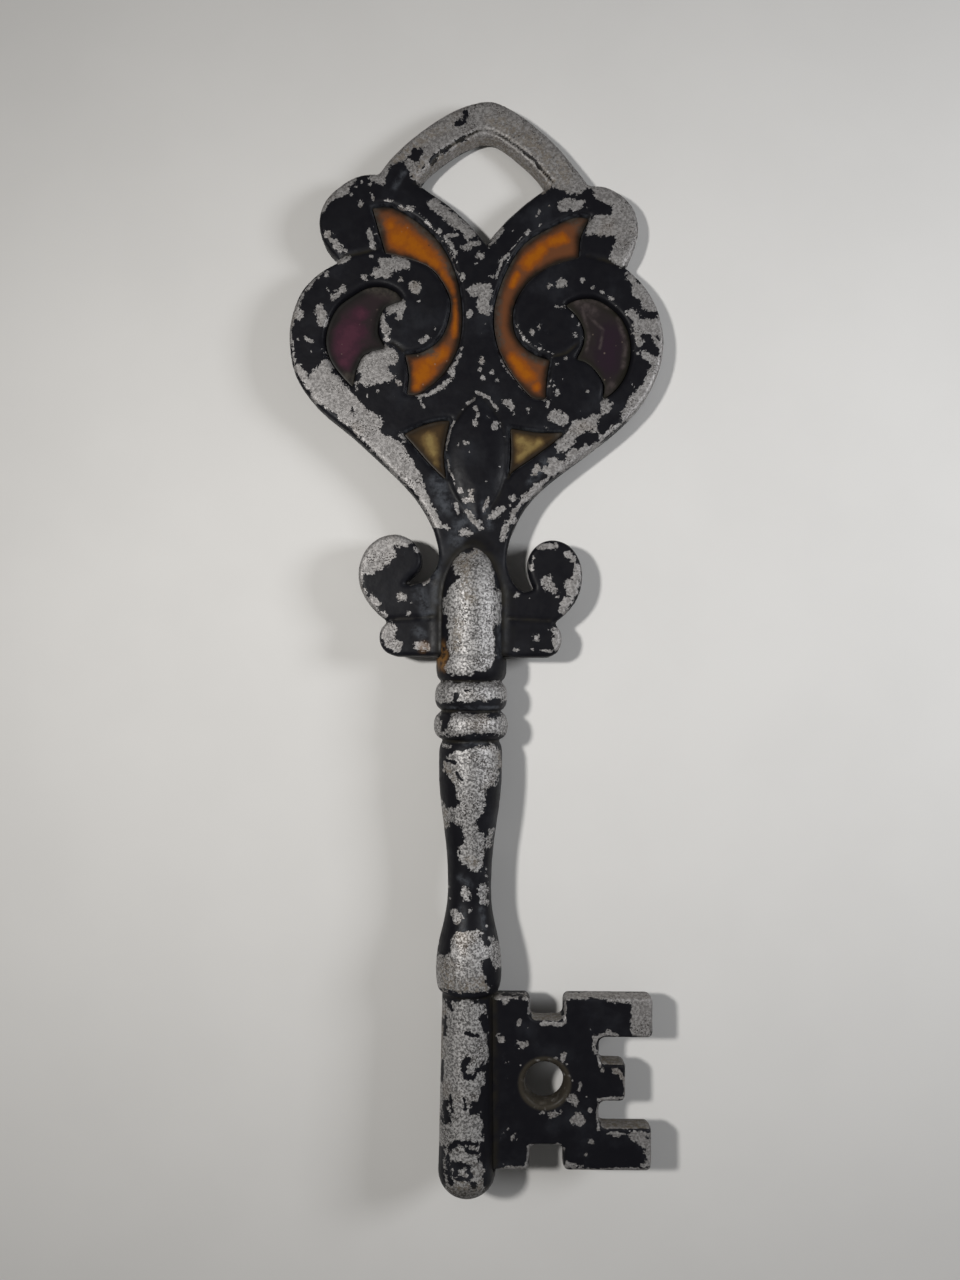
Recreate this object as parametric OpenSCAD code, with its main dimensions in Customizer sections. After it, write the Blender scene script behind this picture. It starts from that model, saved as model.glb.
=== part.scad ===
// Decorative key: a flat openwork bow with resin-filled cells, a turned shank
// that holds the bow in a slot and the bit in a groove, and a toothed bit.
// The key lies flat, with its front face up and its hanging loop towards +Y.

/* [Shank] */
// Length of the pin, from its domed end to the underside of the bulb
pin_len = 64.3; // [58:0.1:90]
// Radius of the pin where its dome starts
pin_end_r = 9.1; // [8:0.1:10]
// Radius of the pin just under the bulb
pin_neck_r = 8.4; // [7.6:0.1:9.4]
// Height of the dome that closes the pin
pin_dome_h = 8; // [4:0.5:10]
// Largest radius of the bulb over the pin
bulb_r = 10.5; // [10:0.1:14]
// Radius of the bulb's flat underside
bulb_foot_r = 9.2; // [8.8:0.1:9.8]
// Distance from the bulb's underside to its largest radius
bulb_rise = 7.2; // [5:0.1:12]
// Length from the bulb's largest radius to the waist
waist_fall = 23.5; // [15:0.5:40]
// Length of the straight part of the waist
waist_len = 4; // [1:0.5:20]
// Radius of the waist
waist_r = 6.95; // [5:0.05:9]
// Length from the waist to the baluster's shoulder
shoulder_rise = 36; // [20:0.5:60]
// Radius of the baluster's shoulder
shoulder_r = 10.2; // [9.5:0.1:13]
// Length of the straight shoulder
shoulder_len = 3.4; // [1:0.1:10]
// Length over which the shoulder rounds down to the first groove
shoulder_turn = 4.6; // [2:0.1:8]
// Length of each groove beside the collars
groove_len = 0.8; // [0.4:0.1:2]
// Radius at the bottom of the groove under the lower collar
low_groove_r = 8.9; // [7:0.1:9.2]
// Radius at the bottom of the two grooves above the lower collar
groove_r = 9.9; // [8:0.1:10.2]
// Largest radius of the lower collar
low_collar_r = 12; // [11.2:0.1:15]
// Largest radius of the upper collar
high_collar_r = 11.7; // [11.2:0.1:15]
// Length of the lower collar
low_collar_len = 8.6; // [5:0.1:14]
// Length of the upper collar
high_collar_len = 8.6; // [5:0.1:14]
// Radius of the barrel's two cheeks, which grip the bow
barrel_r = 10.9; // [10.4:0.1:12]
// Radius of the solid foot of the barrel, under the seat of the bow
foot_r = 11.4; // [10.8:0.1:13]
// Length of the solid foot, from the last groove to the seat of the bow
foot_len = 7.1; // [5:0.1:15]
// Length over which the foot rounds down to the last groove
foot_turn = 4; // [2:0.1:4.8]
// Length of the straight cheeks above the seat of the bow
cheek_len = 18; // [10:0.5:24]
// Length of the pointed end of the cheeks
point_len = 22.7; // [10:0.1:26]

/* [Bow] */
// Width of the bow across its two large scrolls
bow_w = 122; // [110:0.5:150]
// Height of the bow, from its seat in the barrel to the top of the loop
bow_h = 182.8; // [170:0.1:220]
// Thickness of the bow
bow_t = 8.2; // [6:0.1:11]
// How far the bow's rounded edges stand back at the faces
bow_edge = 0.95; // [0.5:0.05:1.5]
// How far the inner wall of the hanging loop stands back at the faces
loop_edge = 2.4; // [0.6:0.1:2.8]
// How far the walls of the cells stand back at the faces
cell_edge = 0.9; // [0.4:0.1:1.2]
// Width of the square tang inside the barrel
tang_w = 18; // [12:0.5:19]
// Length of the square tang
tang_len = 22; // [10:0.5:24]
// Clearance between the bow and each cheek of the slot
slot_play = 0.1; // [0.05:0.05:0.3]
// Height of the bud above the face of the bow
bud_h = 2.2; // [0.8:0.1:4]
// Radius of the lines scored across the wings
score_r = 0.9; // [0.4:0.1:1.4]

/* [Panes] */
// Depth of the resin below the front face of the bow
pane_recess = 1.9; // [1:0.1:2.4]
// Depth of the resin below the back face of the bow
pane_back = 0.6; // [0.2:0.1:1]
// Gap that the resin left at the cell walls as it shrank
pane_play = 0.05; // [0.02:0.01:0.1]

/* [Bit] */
// Distance from the underside of the bulb to the bit's upper edge
bit_drop = 1; // [0.2:0.1:2]
// Reach of the upper tooth from the axis of the shank
upper_reach = 58.5; // [52:0.5:80]
// Reach of the lower tooth from the axis of the shank
lower_reach = 58.1; // [52:0.5:80]
// Reach of the middle tooth from the axis of the shank
middle_reach = 49.9; // [46:0.1:52]
// Distance from the axis of the shank to the gaps between the teeth
root_reach = 41.5; // [38:0.1:44]
// Height of the upper tooth
upper_tooth_h = 13.2; // [12:0.1:20]
// Height of the lower tooth
lower_tooth_h = 14.1; // [13:0.1:20]
// Height of the middle tooth
middle_tooth_h = 12.5; // [8:0.1:20]
// Height of each gap between the teeth
tooth_gap = 7.25; // [3:0.05:10]
// Thickness of the bit
bit_t = 7.2; // [5:0.1:10]
// How far the bit's rounded edges stand back at the faces
bit_edge = 1.1; // [0.4:0.1:1.4]
// Radius of the bit's outer corners
bit_corner_r = 1.9; // [1.5:0.1:3]
// Distance from the axis of the shank to the two square notches
notch_x = 19.7; // [14:0.1:22]
// Width of the two square notches
notch_w = 10.3; // [6:0.1:12]
// Depth of the upper square notch
upper_notch_d = 7; // [4:0.1:9]
// Depth of the lower square notch
lower_notch_d = 7.7; // [4:0.1:9]
// Distance from the axis of the shank to the hole
hole_x = 24.2; // [22:0.1:28]
// Height of the hole above the bit's lower edge
hole_y = 27.2; // [24:0.1:30]
// Radius of the hole at its narrowest
hole_r = 6.1; // [4:0.1:8]
// How far the mouth of the hole flares out at each face
hole_flare = 1.7; // [0.5:0.1:2.6]
// Length of the straight part of the hole
hole_land = 1.6; // [1:0.1:3]
// Distance from the axis of the shank to the floor of the groove for the bit
groove_floor = 5.4; // [4:0.1:6]
// Clearance between the bit and the sides of its groove
groove_play = 0.1; // [0.05:0.05:0.3]

/* [Hidden] */
$fn = 64;

paint_colour = [0.16, 0.16, 0.18];
metal_colour = [0.62, 0.60, 0.57];
amber_colour = [0.85, 0.52, 0.12];
violet_colour = [0.36, 0.20, 0.32];
yellow_colour = [0.80, 0.68, 0.28];

over = 1;             // what a cutter runs past the face it opens
steps = 3;            // straight pieces between two knots of a drawn curve
turn_steps = 8;       // straight pieces in a turned curve of the shank
corner_steps = 4;     // straight pieces in a rounded corner of the bit
shank_sides = 96;     // sides of the turned shank when it is drawn as a mesh
score_sides = 24;     // sides of the round bar that cuts a scored line
point_miter = 0.6;    // least cosine that a corner's offset is divided by
quirk = 0.4;          // how far a groove beside a collar is nicked into the shank
score_lift = 0.35;    // share of a scored line's radius that stays above the face

// Stations along the shank, from the domed end of the pin
bulb_y = pin_len + bulb_rise;
waist_y = bulb_y + waist_fall;
rise_y = waist_y + waist_len;
shoulder_y = rise_y + shoulder_rise;
turn_y = shoulder_y + shoulder_len;
low_collar_y = turn_y + shoulder_turn + groove_len;
mid_groove_y = low_collar_y + low_collar_len;
high_collar_y = mid_groove_y + groove_len;
barrel_groove_y = high_collar_y + high_collar_len;
barrel_y = barrel_groove_y + groove_len;
seat_y = barrel_y + foot_len;
point_y = seat_y + cheek_len;

// The bit's lower edge, and the edge of its tongue inside the pin
bit_h = upper_tooth_h + middle_tooth_h + lower_tooth_h + 2 * tooth_gap;
bit_y = pin_len - bit_drop - bit_h;
tongue_x = sqrt(pin_neck_r ^ 2 - (bit_t / 2) ^ 2);

// Drawn curves of the bow, on a grid of drawn_w by drawn_h, seat line at 0
drawn_w = 122;
drawn_h = 182.8;
wing_right_low = [[24.5, 0.2], [27.6, 1.9], [29.1, 5.6], [28.6, 9.1], [26.6, 11.3]];
wing_right = [[26.6, 11.3], [30.7, 14.7], [34.2, 19.6], [35.7, 26.1], [34.6, 32.2],
              [31.3, 36.6], [26.5, 38.4], [21.9, 37.4], [18.7, 34.1], [17.7, 30.1],
              [18.3, 26.4], [19.9, 22.4]];
side_right = [[19.9, 22.4], [16.8, 21.6], [13.8, 23.9], [11.9, 28], [11.3, 32],
              [11.7, 36], [13.4, 41.5], [17.8, 49.7], [25.8, 57.8], [37.7, 66.9],
              [48.5, 75.8], [56.1, 84.7], [60.7, 95], [61.7, 105.4], [59.1, 115.6],
              [54.4, 122.8], [48.9, 127.9]];
lobe_right = [[48.9, 127.9], [51.5, 132.2], [53.5, 139.6], [52.4, 146.2], [48.8, 151],
              [43, 154.4], [37.2, 155]];
loop_outside = [[37.2, 155], [32.6, 161], [26.4, 168.3], [17.9, 175.9], [9.7, 181.2],
                [3.5, 182.8], [-4.2, 181], [-12, 176.9], [-21.2, 170.1], [-28.1, 163.2],
                [-31.8, 158.1]];
lobe_left = [[-31.8, 158.1], [-36, 158], [-41.9, 155.8], [-48.8, 149.6], [-51.2, 142.2],
             [-49.3, 134.6], [-44.2, 129]];
side_left = [[-44.2, 129], [-50.4, 125.4], [-56.1, 119.5], [-59.5, 111.2],
             [-60.3, 102.2], [-57.9, 90.8], [-50.6, 80.8], [-40.1, 72.2], [-29, 62.2],
             [-19.5, 52.5], [-14, 43.9], [-11.5, 36.8], [-11, 31.6], [-12.7, 27.2],
             [-15.9, 24.4], [-21.6, 23.4]];
wing_left = [[-21.6, 23.4], [-19.6, 25.6], [-17.2, 27.9], [-16, 31.1], [-17.1, 35.2],
             [-20.2, 38.4], [-25, 39.9], [-30.4, 38.5], [-34.6, 34.5], [-36.7, 28.7],
             [-36.3, 22.9], [-33.8, 17.7], [-30.3, 13.8], [-27.2, 11.4]];
wing_left_low = [[-27.2, 11.4], [-29.4, 8.9], [-29.7, 4.9], [-27.7, 1.6], [-24, 0.2]];

loop_inside = [[[3.8, 136], [5.8, 138.8], [9.5, 143], [14.7, 148], [19.6, 151.9],
                [22.9, 154.3]],
               [[22.9, 154.3], [19.8, 158.8], [14.5, 163.9], [8.6, 168.6], [3.4, 170.6],
                [-2.6, 168.6], [-9.2, 164.5], [-15.7, 158.9], [-18.3, 155.2]],
               [[-18.3, 155.2], [-13.8, 152.1], [-8.6, 148.5], [-4.4, 144.8],
                [-1.3, 141.8], [1.7, 138.5], [3.8, 136]]];
amber_left = [[[-21.8, 85.4], [-17.6, 85.7], [-10.4, 91.5], [-5.8, 99.3], [-4.1, 107],
               [-4.3, 116], [-6.4, 125.8], [-11.1, 135.1], [-18.2, 142.1],
               [-27.3, 147.3], [-33.8, 147]],
              [[-33.8, 147], [-31.6, 139.6], [-29.4, 132]],
              [[-29.4, 132], [-21.5, 130.2], [-14.2, 127], [-9, 119.6],
               [-7.9, 113], [-10.7, 104.3], [-16.8, 99.5], [-22.6, 98.6]],
              [[-22.6, 98.6], [-21.2, 91.8], [-21.8, 85.4]]];
amber_right = [[[23.4, 84.4], [23.7, 90.8], [24.8, 97.2]],
               [[24.8, 97.2], [19.9, 98.8], [15.4, 102.3], [12.8, 107.3],
                [12.7, 114.3], [15.5, 120.4], [19.9, 125.1], [25.6, 128.5],
                [34, 131.1]],
               [[34, 131.1], [34.4, 137.6], [37.4, 144.2]],
               [[37.4, 144.2], [32.3, 144.5], [24.3, 140.8], [16.2, 135.6],
                [10.8, 127.3], [7.3, 118.3], [6.2, 110.9], [7.3, 102.3],
                [10.9, 94.3], [18.3, 85], [23.4, 84.4]]];
violet_left = [[[-39.3, 87.5], [-38.4, 92.7], [-35.6, 98.5], [-28.8, 100.7]],
               [[-28.8, 100.7], [-31.2, 105.1], [-31, 109.9], [-28.9, 114.1],
                [-23.5, 116.3]],
               [[-23.5, 116.3], [-25.4, 119], [-30, 120.8], [-35, 120.4],
                [-39.8, 117.7], [-44.6, 113.8], [-47.5, 107.9], [-48.3, 102.1],
                [-46.7, 96.5], [-43.4, 91.8], [-39.3, 87.5]]];
violet_right = [[[41.6, 83.9], [46, 87.5], [49.2, 92.1], [50.9, 98.3], [50.6, 105],
                 [48, 110.9], [43.2, 115.4], [38.1, 117.5], [33.2, 117],
                 [29.6, 115.2]],
                [[29.6, 115.2], [33.2, 111.7], [35.5, 107.3], [35.5, 102.3],
                 [33.2, 97.3]],
                [[33.2, 97.3], [36.4, 96.5], [39.8, 93.2], [42.3, 88.9], [41.6, 83.9]]];
yellow_left = [[[-8.6, 57.3], [-9.6, 66.1], [-7.6, 77]],
               [[-7.6, 77], [-12.3, 76.6], [-18, 74.7], [-22.6, 72.3]],
               [[-22.6, 72.3], [-19.2, 68.5], [-13.4, 61.9], [-8.6, 57.3]]];
yellow_right = [[[11.2, 57.7], [13, 60.6], [18, 64.1], [25.4, 69.6], [29.6, 73.4]],
                [[29.6, 73.4], [22, 73.2], [16.4, 73.9], [11.8, 74.6]],
                [[11.8, 74.6], [12.2, 68.1], [11.9, 62.1], [11.2, 57.7]]];
bud_drawn = [[[1.6, 42], [5.2, 47.6], [8.8, 54], [10.6, 63], [10, 72], [6.6, 79.6],
              [1.6, 85]],
             [[1.6, 85], [-3.8, 79.2], [-7.6, 72], [-8.4, 63], [-6.6, 54],
              [-2.4, 47.6], [1.6, 42]]];
score_right = [[11, 12.8], [26.2, 12]];
score_left = [[-11, 13.2], [-27, 12]];

// A point of the drawing, stretched to the size of this bow
function stretched(p) = [p.x * bow_w / drawn_w, p.y * bow_h / drawn_h];

// A smooth run through the knots, without its last knot
function spline(a, b, c, d, t) =
    ((b * 2) + (c - a) * t + (a * 2 - b * 5 + c * 4 - d) * t ^ 2
     + (b * 3 - a - c * 3 + d) * t ^ 3) / 2;
function smooth_run(knots) =
    let (last = len(knots) - 1)
    [for (i = [0:last - 1], j = [0:steps - 1])
        spline(knots[max(i - 1, 0)], knots[i], knots[i + 1],
               knots[min(i + 2, last)], j / steps)];
function joined(runs) = [for (run = runs) each smooth_run([for (p = run) stretched(p)])];

function bow_outline() = concat(
    [stretched(wing_left_low[len(wing_left_low) - 1])],
    joined([wing_right_low, wing_right, side_right, lobe_right, loop_outside,
            lobe_left, side_left, wing_left, wing_left_low]));

// The outline moved outwards by d, or inwards when d is negative
function unit(v) = v / norm(v);
function offset_outline(p, d) =
    let (n = len(p))
    [for (i = [0:n - 1])
        let (before = unit(p[i] - p[(i + n - 1) % n]),
             after = unit(p[(i + 1) % n] - p[i]),
             along = unit(before + after),
             reach = d / max(along * before, point_miter))
        p[i] + reach * [along.y, -along.x]];

// Triangles that fill an outline which runs anticlockwise, one ear at a time
function area2(a, b, c) = (b.x - a.x) * (c.y - a.y) - (b.y - a.y) * (c.x - a.x);
function covers(a, b, c, p) = area2(a, b, p) >= 0 && area2(b, c, p) >= 0 && area2(c, a, p) >= 0;
function is_ear(p, ids, i) =
    let (n = len(ids), a = ids[(i + n - 1) % n], b = ids[i], c = ids[(i + 1) % n])
    area2(p[a], p[b], p[c]) > 0
    && len([for (k = ids) if (k != a && k != b && k != c
                              && covers(p[a], p[b], p[c], p[k])) 1]) == 0;
function fill(p, ids, done = [], i = 0) =
    let (n = len(ids), at = i % n)
    n == 3 ? concat(done, [ids])
    : is_ear(p, ids, at)
        ? fill(p, [for (k = [0:n - 1]) if (k != at) ids[k]],
               concat(done, [[ids[(at + n - 1) % n], ids[at], ids[(at + 1) % n]]]), at + 1)
        : fill(p, ids, done, at + 1);

// A solid through outlines of equal length, each lying at its own height
module loft(rings, heights) {
    n = len(rings[0]);
    top = (len(rings) - 1) * n;
    lowest = fill(rings[0], [for (i = [0:n - 1]) i]);
    highest = fill(rings[len(rings) - 1], [for (i = [0:n - 1]) i]);
    points = [for (r = [0:len(rings) - 1], p = rings[r]) [p.x, p.y, heights[r]]];
    sides = [for (r = [0:len(rings) - 2], i = [0:n - 1])
        let (a = r * n + i, b = r * n + (i + 1) % n)
        each [[a, a + n, b + n], [a, b + n, b]]];
    caps = concat([for (t = lowest) t],
                  [for (t = highest) [t[2] + top, t[1] + top, t[0] + top]]);
    polyhedron(points, concat(sides, caps), convexity = 10);
}

// How far a rounded wall of thickness t stands back at height z
function stand_back(z, t, edge) = edge * (1 - sqrt(1 - (2 * z / t) ^ 2));

// The heights at which the bow, its cells and its panes change slope
pane_top = bow_t / 2 - pane_recess;
pane_bottom = pane_back - bow_t / 2;
bow_heights = [-bow_t / 2, pane_bottom, -pane_top, pane_top, -pane_bottom, bow_t / 2];

module cell_hole(runs, edge = cell_edge) {
    waist = joined(runs);
    heights = concat([-bow_t / 2 - over], bow_heights, [bow_t / 2 + over]);
    loft([for (z = heights)
             offset_outline(waist, stand_back(min(max(z, -bow_t / 2), bow_t / 2),
                                              bow_t, edge))],
         heights);
}

module pane(runs) {
    waist = joined(runs);
    heights = [pane_bottom, -pane_top, pane_top];
    loft([for (z = heights)
             offset_outline(waist, stand_back(z, bow_t, cell_edge) - pane_play)],
         heights);
}

module plate(waist, heights, t, edge) {
    loft([for (z = heights) offset_outline(waist, -stand_back(z, t, edge))], heights);
}

// A pointed oval that swells out of both faces of the bow
bud_rings = [1, 0.93, 0.72, 0.4];    // sizes of its rings, from its foot to its crown
module bud() {
    foot = joined(bud_drawn);
    middle = [for (axis = [0, 1]) (max([for (p = foot) p[axis]]) + min([for (p = foot) p[axis]])) / 2];
    rings = [for (s = bud_rings) [for (p = foot) middle + (p - middle) * s]];
    rises = [for (s = bud_rings) bow_t / 2 + bud_h * sqrt(1 - s ^ 2)];
    for (side = [0, 1]) mirror([0, 0, side])
        loft(concat([foot], rings), concat([0], rises));
}

// A line scored across a wing on both faces
module score(ends) {
    a = stretched(ends[0]);
    b = stretched(ends[1]);
    for (side = [-1, 1])
        translate([a.x, a.y, side * (bow_t / 2 + score_r * score_lift)])
            rotate([0, 0, atan2(b.y - a.y, b.x - a.x)])
                rotate([0, 90, 0]) cylinder(h = norm(b - a), r = score_r, $fn = score_sides);
}

module bow() color(paint_colour) in_frame() translate([0, seat_y, 0]) {
    difference() {
        union() {
            plate(bow_outline(), bow_heights, bow_t, bow_edge);
            bud();
        }
        cell_hole(loop_inside, loop_edge);
        for (cell = [amber_left, amber_right, violet_left, violet_right, yellow_left,
                     yellow_right])
            cell_hole(cell);
        score(score_left);
        score(score_right);
    }
    translate([-tang_w / 2, 0, -bow_t / 2]) cube([tang_w, tang_len, bow_t]);
}

module amber_pane_left() color(amber_colour) in_frame() translate([0, seat_y, 0]) pane(amber_left);
module amber_pane_right() color(amber_colour) in_frame() translate([0, seat_y, 0]) pane(amber_right);
module violet_pane_left() color(violet_colour) in_frame() translate([0, seat_y, 0]) pane(violet_left);
module violet_pane_right() color(violet_colour) in_frame() translate([0, seat_y, 0]) pane(violet_right);
module yellow_pane_left() color(yellow_colour) in_frame() translate([0, seat_y, 0]) pane(yellow_left);
module yellow_pane_right() color(yellow_colour) in_frame() translate([0, seat_y, 0]) pane(yellow_right);

// Turned curves as [radius, station] pairs
function sweep_between(r0, y0, r1, y1) =
    [for (i = [0:turn_steps]) let (t = i / turn_steps)
        [r0 + (r1 - r0) * (1 - cos(180 * t)) / 2, y0 + (y1 - y0) * t]];
function bead(r, foot, y, length) =
    [for (i = [0:turn_steps]) let (a = 180 * i / turn_steps)
        [foot + (r - foot) * sin(a), y + length * (1 - cos(a)) / 2]];
point_arc_r = (point_len ^ 2 + barrel_r ^ 2) / (2 * barrel_r);
function shank_profile() = concat(
    [for (i = [0:turn_steps]) let (a = 90 * i / turn_steps)
        [pin_end_r * sin(a), pin_dome_h * (1 - cos(a))]],
    [[pin_neck_r, pin_len], [bulb_foot_r, pin_len]],
    [for (i = [1:turn_steps]) let (a = 90 * i / turn_steps)
        [bulb_foot_r + (bulb_r - bulb_foot_r) * sin(a), pin_len + bulb_rise * (1 - cos(a))]],
    [for (p = sweep_between(bulb_r, bulb_y, waist_r, waist_y)) if (p.y > bulb_y) p],
    sweep_between(waist_r, rise_y, shoulder_r, shoulder_y),
    [for (i = [0:turn_steps]) let (a = 90 * i / turn_steps)
        [low_groove_r + (shoulder_r - low_groove_r) * cos(a), turn_y + shoulder_turn * sin(a)]],
    bead(low_collar_r, low_groove_r + quirk, low_collar_y, low_collar_len),
    [[groove_r - quirk, mid_groove_y + groove_len / 2]],
    bead(high_collar_r, groove_r - quirk / 2, high_collar_y, high_collar_len),
    [[groove_r - quirk, barrel_groove_y + groove_len / 2]],
    [for (i = [0:turn_steps]) let (a = 90 * i / turn_steps)
        [groove_r + (foot_r - groove_r) * sin(a), barrel_y + foot_turn * (1 - cos(a))]],
    [[foot_r, seat_y], [barrel_r, seat_y]],
    [for (i = [0:turn_steps]) let (y = point_len * i / turn_steps)
        [sqrt(point_arc_r ^ 2 - y ^ 2) - (point_arc_r - barrel_r), point_y + y]]);

module shank() color(metal_colour) in_frame() difference() {
    rotate([90, 0, 0]) mirror([0, 0, 1]) rotate_extrude($fn = shank_sides) polygon(shank_profile());
    translate([-barrel_r - over, seat_y, -bow_t / 2 - slot_play])
        cube([2 * (barrel_r + over), cheek_len + point_len + over, bow_t + 2 * slot_play]);
    translate([groove_floor, bit_y, -bit_t / 2 - groove_play])
        cube([bulb_r, bit_h, bit_t + 2 * groove_play]);
}

// The bit's outline, with its teeth, gaps and notches, from the shank's axis
function bit_corners() =
    let (top = bit_h, low = lower_tooth_h, low_gap = low + tooth_gap,
         high = low_gap + middle_tooth_h, high_gap = high + tooth_gap)
    [[groove_floor, 0], [notch_x, 0], [notch_x, lower_notch_d], [notch_x + notch_w, lower_notch_d],
     [notch_x + notch_w, 0], [lower_reach, 0], [lower_reach, low], [root_reach, low],
     [root_reach, low_gap], [middle_reach, low_gap], [middle_reach, high],
     [root_reach, high], [root_reach, high_gap], [upper_reach, high_gap],
     [upper_reach, top], [notch_x + notch_w, top], [notch_x + notch_w, top - upper_notch_d],
     [notch_x, top - upper_notch_d], [notch_x, top], [groove_floor, top]];

// The same corners, rounded, apart from the two in the groove
function corner_arc(a, b, c, r) =
    let (u = unit(a - b), v = unit(c - b), centre = b + (u + v) * r)
    [for (i = [0:corner_steps]) let (t = 90 * i / corner_steps)
        centre - u * r * sin(t) - v * r * cos(t)];
function bit_outline() =
    let (p = bit_corners(), n = len(p))
    [for (i = [0:n - 1])
        each (p[i].x == groove_floor ? [p[i]]
              : corner_arc(p[(i + n - 1) % n], p[i], p[(i + 1) % n], bit_corner_r))];

// The heights at which the bit's rounded edges change slope
bit_heights = [for (share = [-1, -0.8, -0.4, 0.4, 0.8, 1]) share * bit_t / 2];

module bit() color(paint_colour) in_frame() translate([0, bit_y, 0]) difference() {
    union() {
        plate(bit_outline(), bit_heights, bit_t, bit_edge);
        translate([groove_floor, 0, -bit_t / 2])
            cube([tongue_x - groove_floor, bit_h, bit_t]);
    }
    translate([hole_x, hole_y, 0]) rotate_extrude() polygon(hole_profile());
}

function hole_profile() =
    let (flare_h = (bit_t - hole_land) / 2,
         side = [for (i = [0:turn_steps]) let (a = 90 * i / turn_steps)
             [hole_r + hole_flare * (1 - cos(a)), hole_land / 2 + flare_h * sin(a)]],
         n = len(side))
    concat([[0, -bit_t / 2 - over], [hole_r + hole_flare, -bit_t / 2 - over]],
           [for (i = [0:n - 1]) [side[n - 1 - i].x, -side[n - 1 - i].y]],
           side,
           [[hole_r + hole_flare, bit_t / 2 + over], [0, bit_t / 2 + over]]);

// The origin lies under the middle of the key, on the plane that its collars touch
outline_x = [for (p = bow_outline()) p.x];
outline_y = [for (p = bow_outline()) p.y];
middle_x = (max(outline_x) + min(outline_x)) / 2;
middle_y = (seat_y + max(outline_y)) / 2;
module in_frame() translate([-middle_x, -middle_y, max(low_collar_r, high_collar_r)]) children();

bow();
shank();
bit();
amber_pane_left();
amber_pane_right();
violet_pane_left();
violet_pane_right();
yellow_pane_left();
yellow_pane_right();
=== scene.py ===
"""Decorative key lying on a pale table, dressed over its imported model.

The bow, the shank and the bit are sculpted on fine copies of their solids, and flaked paint is laid
over worn cast metal. Each resin pane gets its own depth, glow, haze and bubbles.
"""
import logging
import math
from dataclasses import dataclass, field
from enum import Enum

import bpy
import numpy as np
from mathutils import Euler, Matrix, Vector, noise
from mathutils.bvhtree import BVHTree


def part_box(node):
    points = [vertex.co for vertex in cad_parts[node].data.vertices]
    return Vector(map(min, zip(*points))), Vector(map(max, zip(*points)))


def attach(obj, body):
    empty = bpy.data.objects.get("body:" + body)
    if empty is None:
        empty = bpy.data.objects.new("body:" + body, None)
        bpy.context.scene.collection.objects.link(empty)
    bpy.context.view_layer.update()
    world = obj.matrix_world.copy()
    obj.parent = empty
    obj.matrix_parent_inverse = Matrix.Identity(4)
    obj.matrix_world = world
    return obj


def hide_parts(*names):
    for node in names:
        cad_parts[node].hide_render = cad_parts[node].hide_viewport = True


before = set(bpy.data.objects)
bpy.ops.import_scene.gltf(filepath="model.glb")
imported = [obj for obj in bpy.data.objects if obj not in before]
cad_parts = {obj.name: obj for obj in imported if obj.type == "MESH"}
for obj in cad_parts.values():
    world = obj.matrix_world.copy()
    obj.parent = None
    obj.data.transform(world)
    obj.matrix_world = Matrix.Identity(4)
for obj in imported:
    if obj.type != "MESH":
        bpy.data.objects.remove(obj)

log = logging.getLogger("decorative_key")

MM = 0.001
Colour = tuple[float, float, float]
Point = tuple[float, float]
Spots = tuple[np.ndarray, np.ndarray]
Socket = bpy.types.NodeSocket
Feeds = dict[int | str, object]

EYE = (2.1, -12.5, 311.2)       # the camera, in millimetres in the part's frame
TILT, TURN = 2.273, 0.480       # how the camera leans and turns, in degrees
MID_Z = 12.0                    # height of the bow's and the bit's middle plane
DRAWING_Z = 16.0                # height of the plane that the wear is drawn on
NOISE_SEED = 7                  # the whirls of noise are the same on each run
THIN = 0.9                      # half width under which a stroke gets steeper sides
NEAR = 4.0                      # how far off a neighbouring piece is looked for
WELD = 0.002                    # corners of loose triangles this close are joined
PAPER = (1.0, 0.992, 0.975)     # tint of the far table and of the backdrop


class Slot(Enum):
    """The material slots of the finishes."""

    PAINT = "worn_paint"
    METAL = "bare_metal"
    AMBER = "amber_resin"
    VIOLET = "violet_resin"
    YELLOW = "yellow_resin"


@dataclass(frozen=True)
class Stroke:
    """A worn or painted stroke on the drawing plane, in millimetres.

    Args:
        half: Half the width of the stroke.
        route: Points that it runs through; a single point makes a round spot.
    """

    half: float
    route: tuple[Point, ...]

    def reach(self, spots: Spots) -> np.ndarray:
        """How deep each point lies inside the stroke, negative outside it, steeper for thin strokes.

        Args:
            spots: First and second coordinates of the points, in millimetres.

        Returns:
            One value for each point, in millimetres.
        """
        x, y = spots
        ends = self.route if len(self.route) > 1 else self.route * 2
        nearest = np.full(x.shape, np.inf)
        for (ax, ay), (bx, by) in zip(ends, ends[1:]):
            square = max((bx - ax) ** 2 + (by - ay) ** 2, 1e-9)
            along = np.clip(((x - ax) * (bx - ax) + (y - ay) * (by - ay)) / square, 0.0, 1.0)
            off = np.hypot(x - ax - along * (bx - ax), y - ay - along * (by - ay))
            nearest = np.minimum(nearest, off)
        return (self.half - nearest) * max(1.0, THIN / self.half)


def strokes(*rows: tuple[float, ...]) -> tuple[Stroke, ...]:
    """Strokes from rows that hold a half width and then the coordinates of the route."""
    return tuple(Stroke(row[0], tuple(zip(row[1::2], row[2::2]))) for row in rows)


def smoothstep(value: np.ndarray, low: float, high: float) -> np.ndarray:
    """0 below low and 1 above high, with a smooth rise between."""
    t = np.clip((value - low) / (high - low), 0.0, 1.0)
    return t * t * (3.0 - 2.0 * t)


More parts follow.
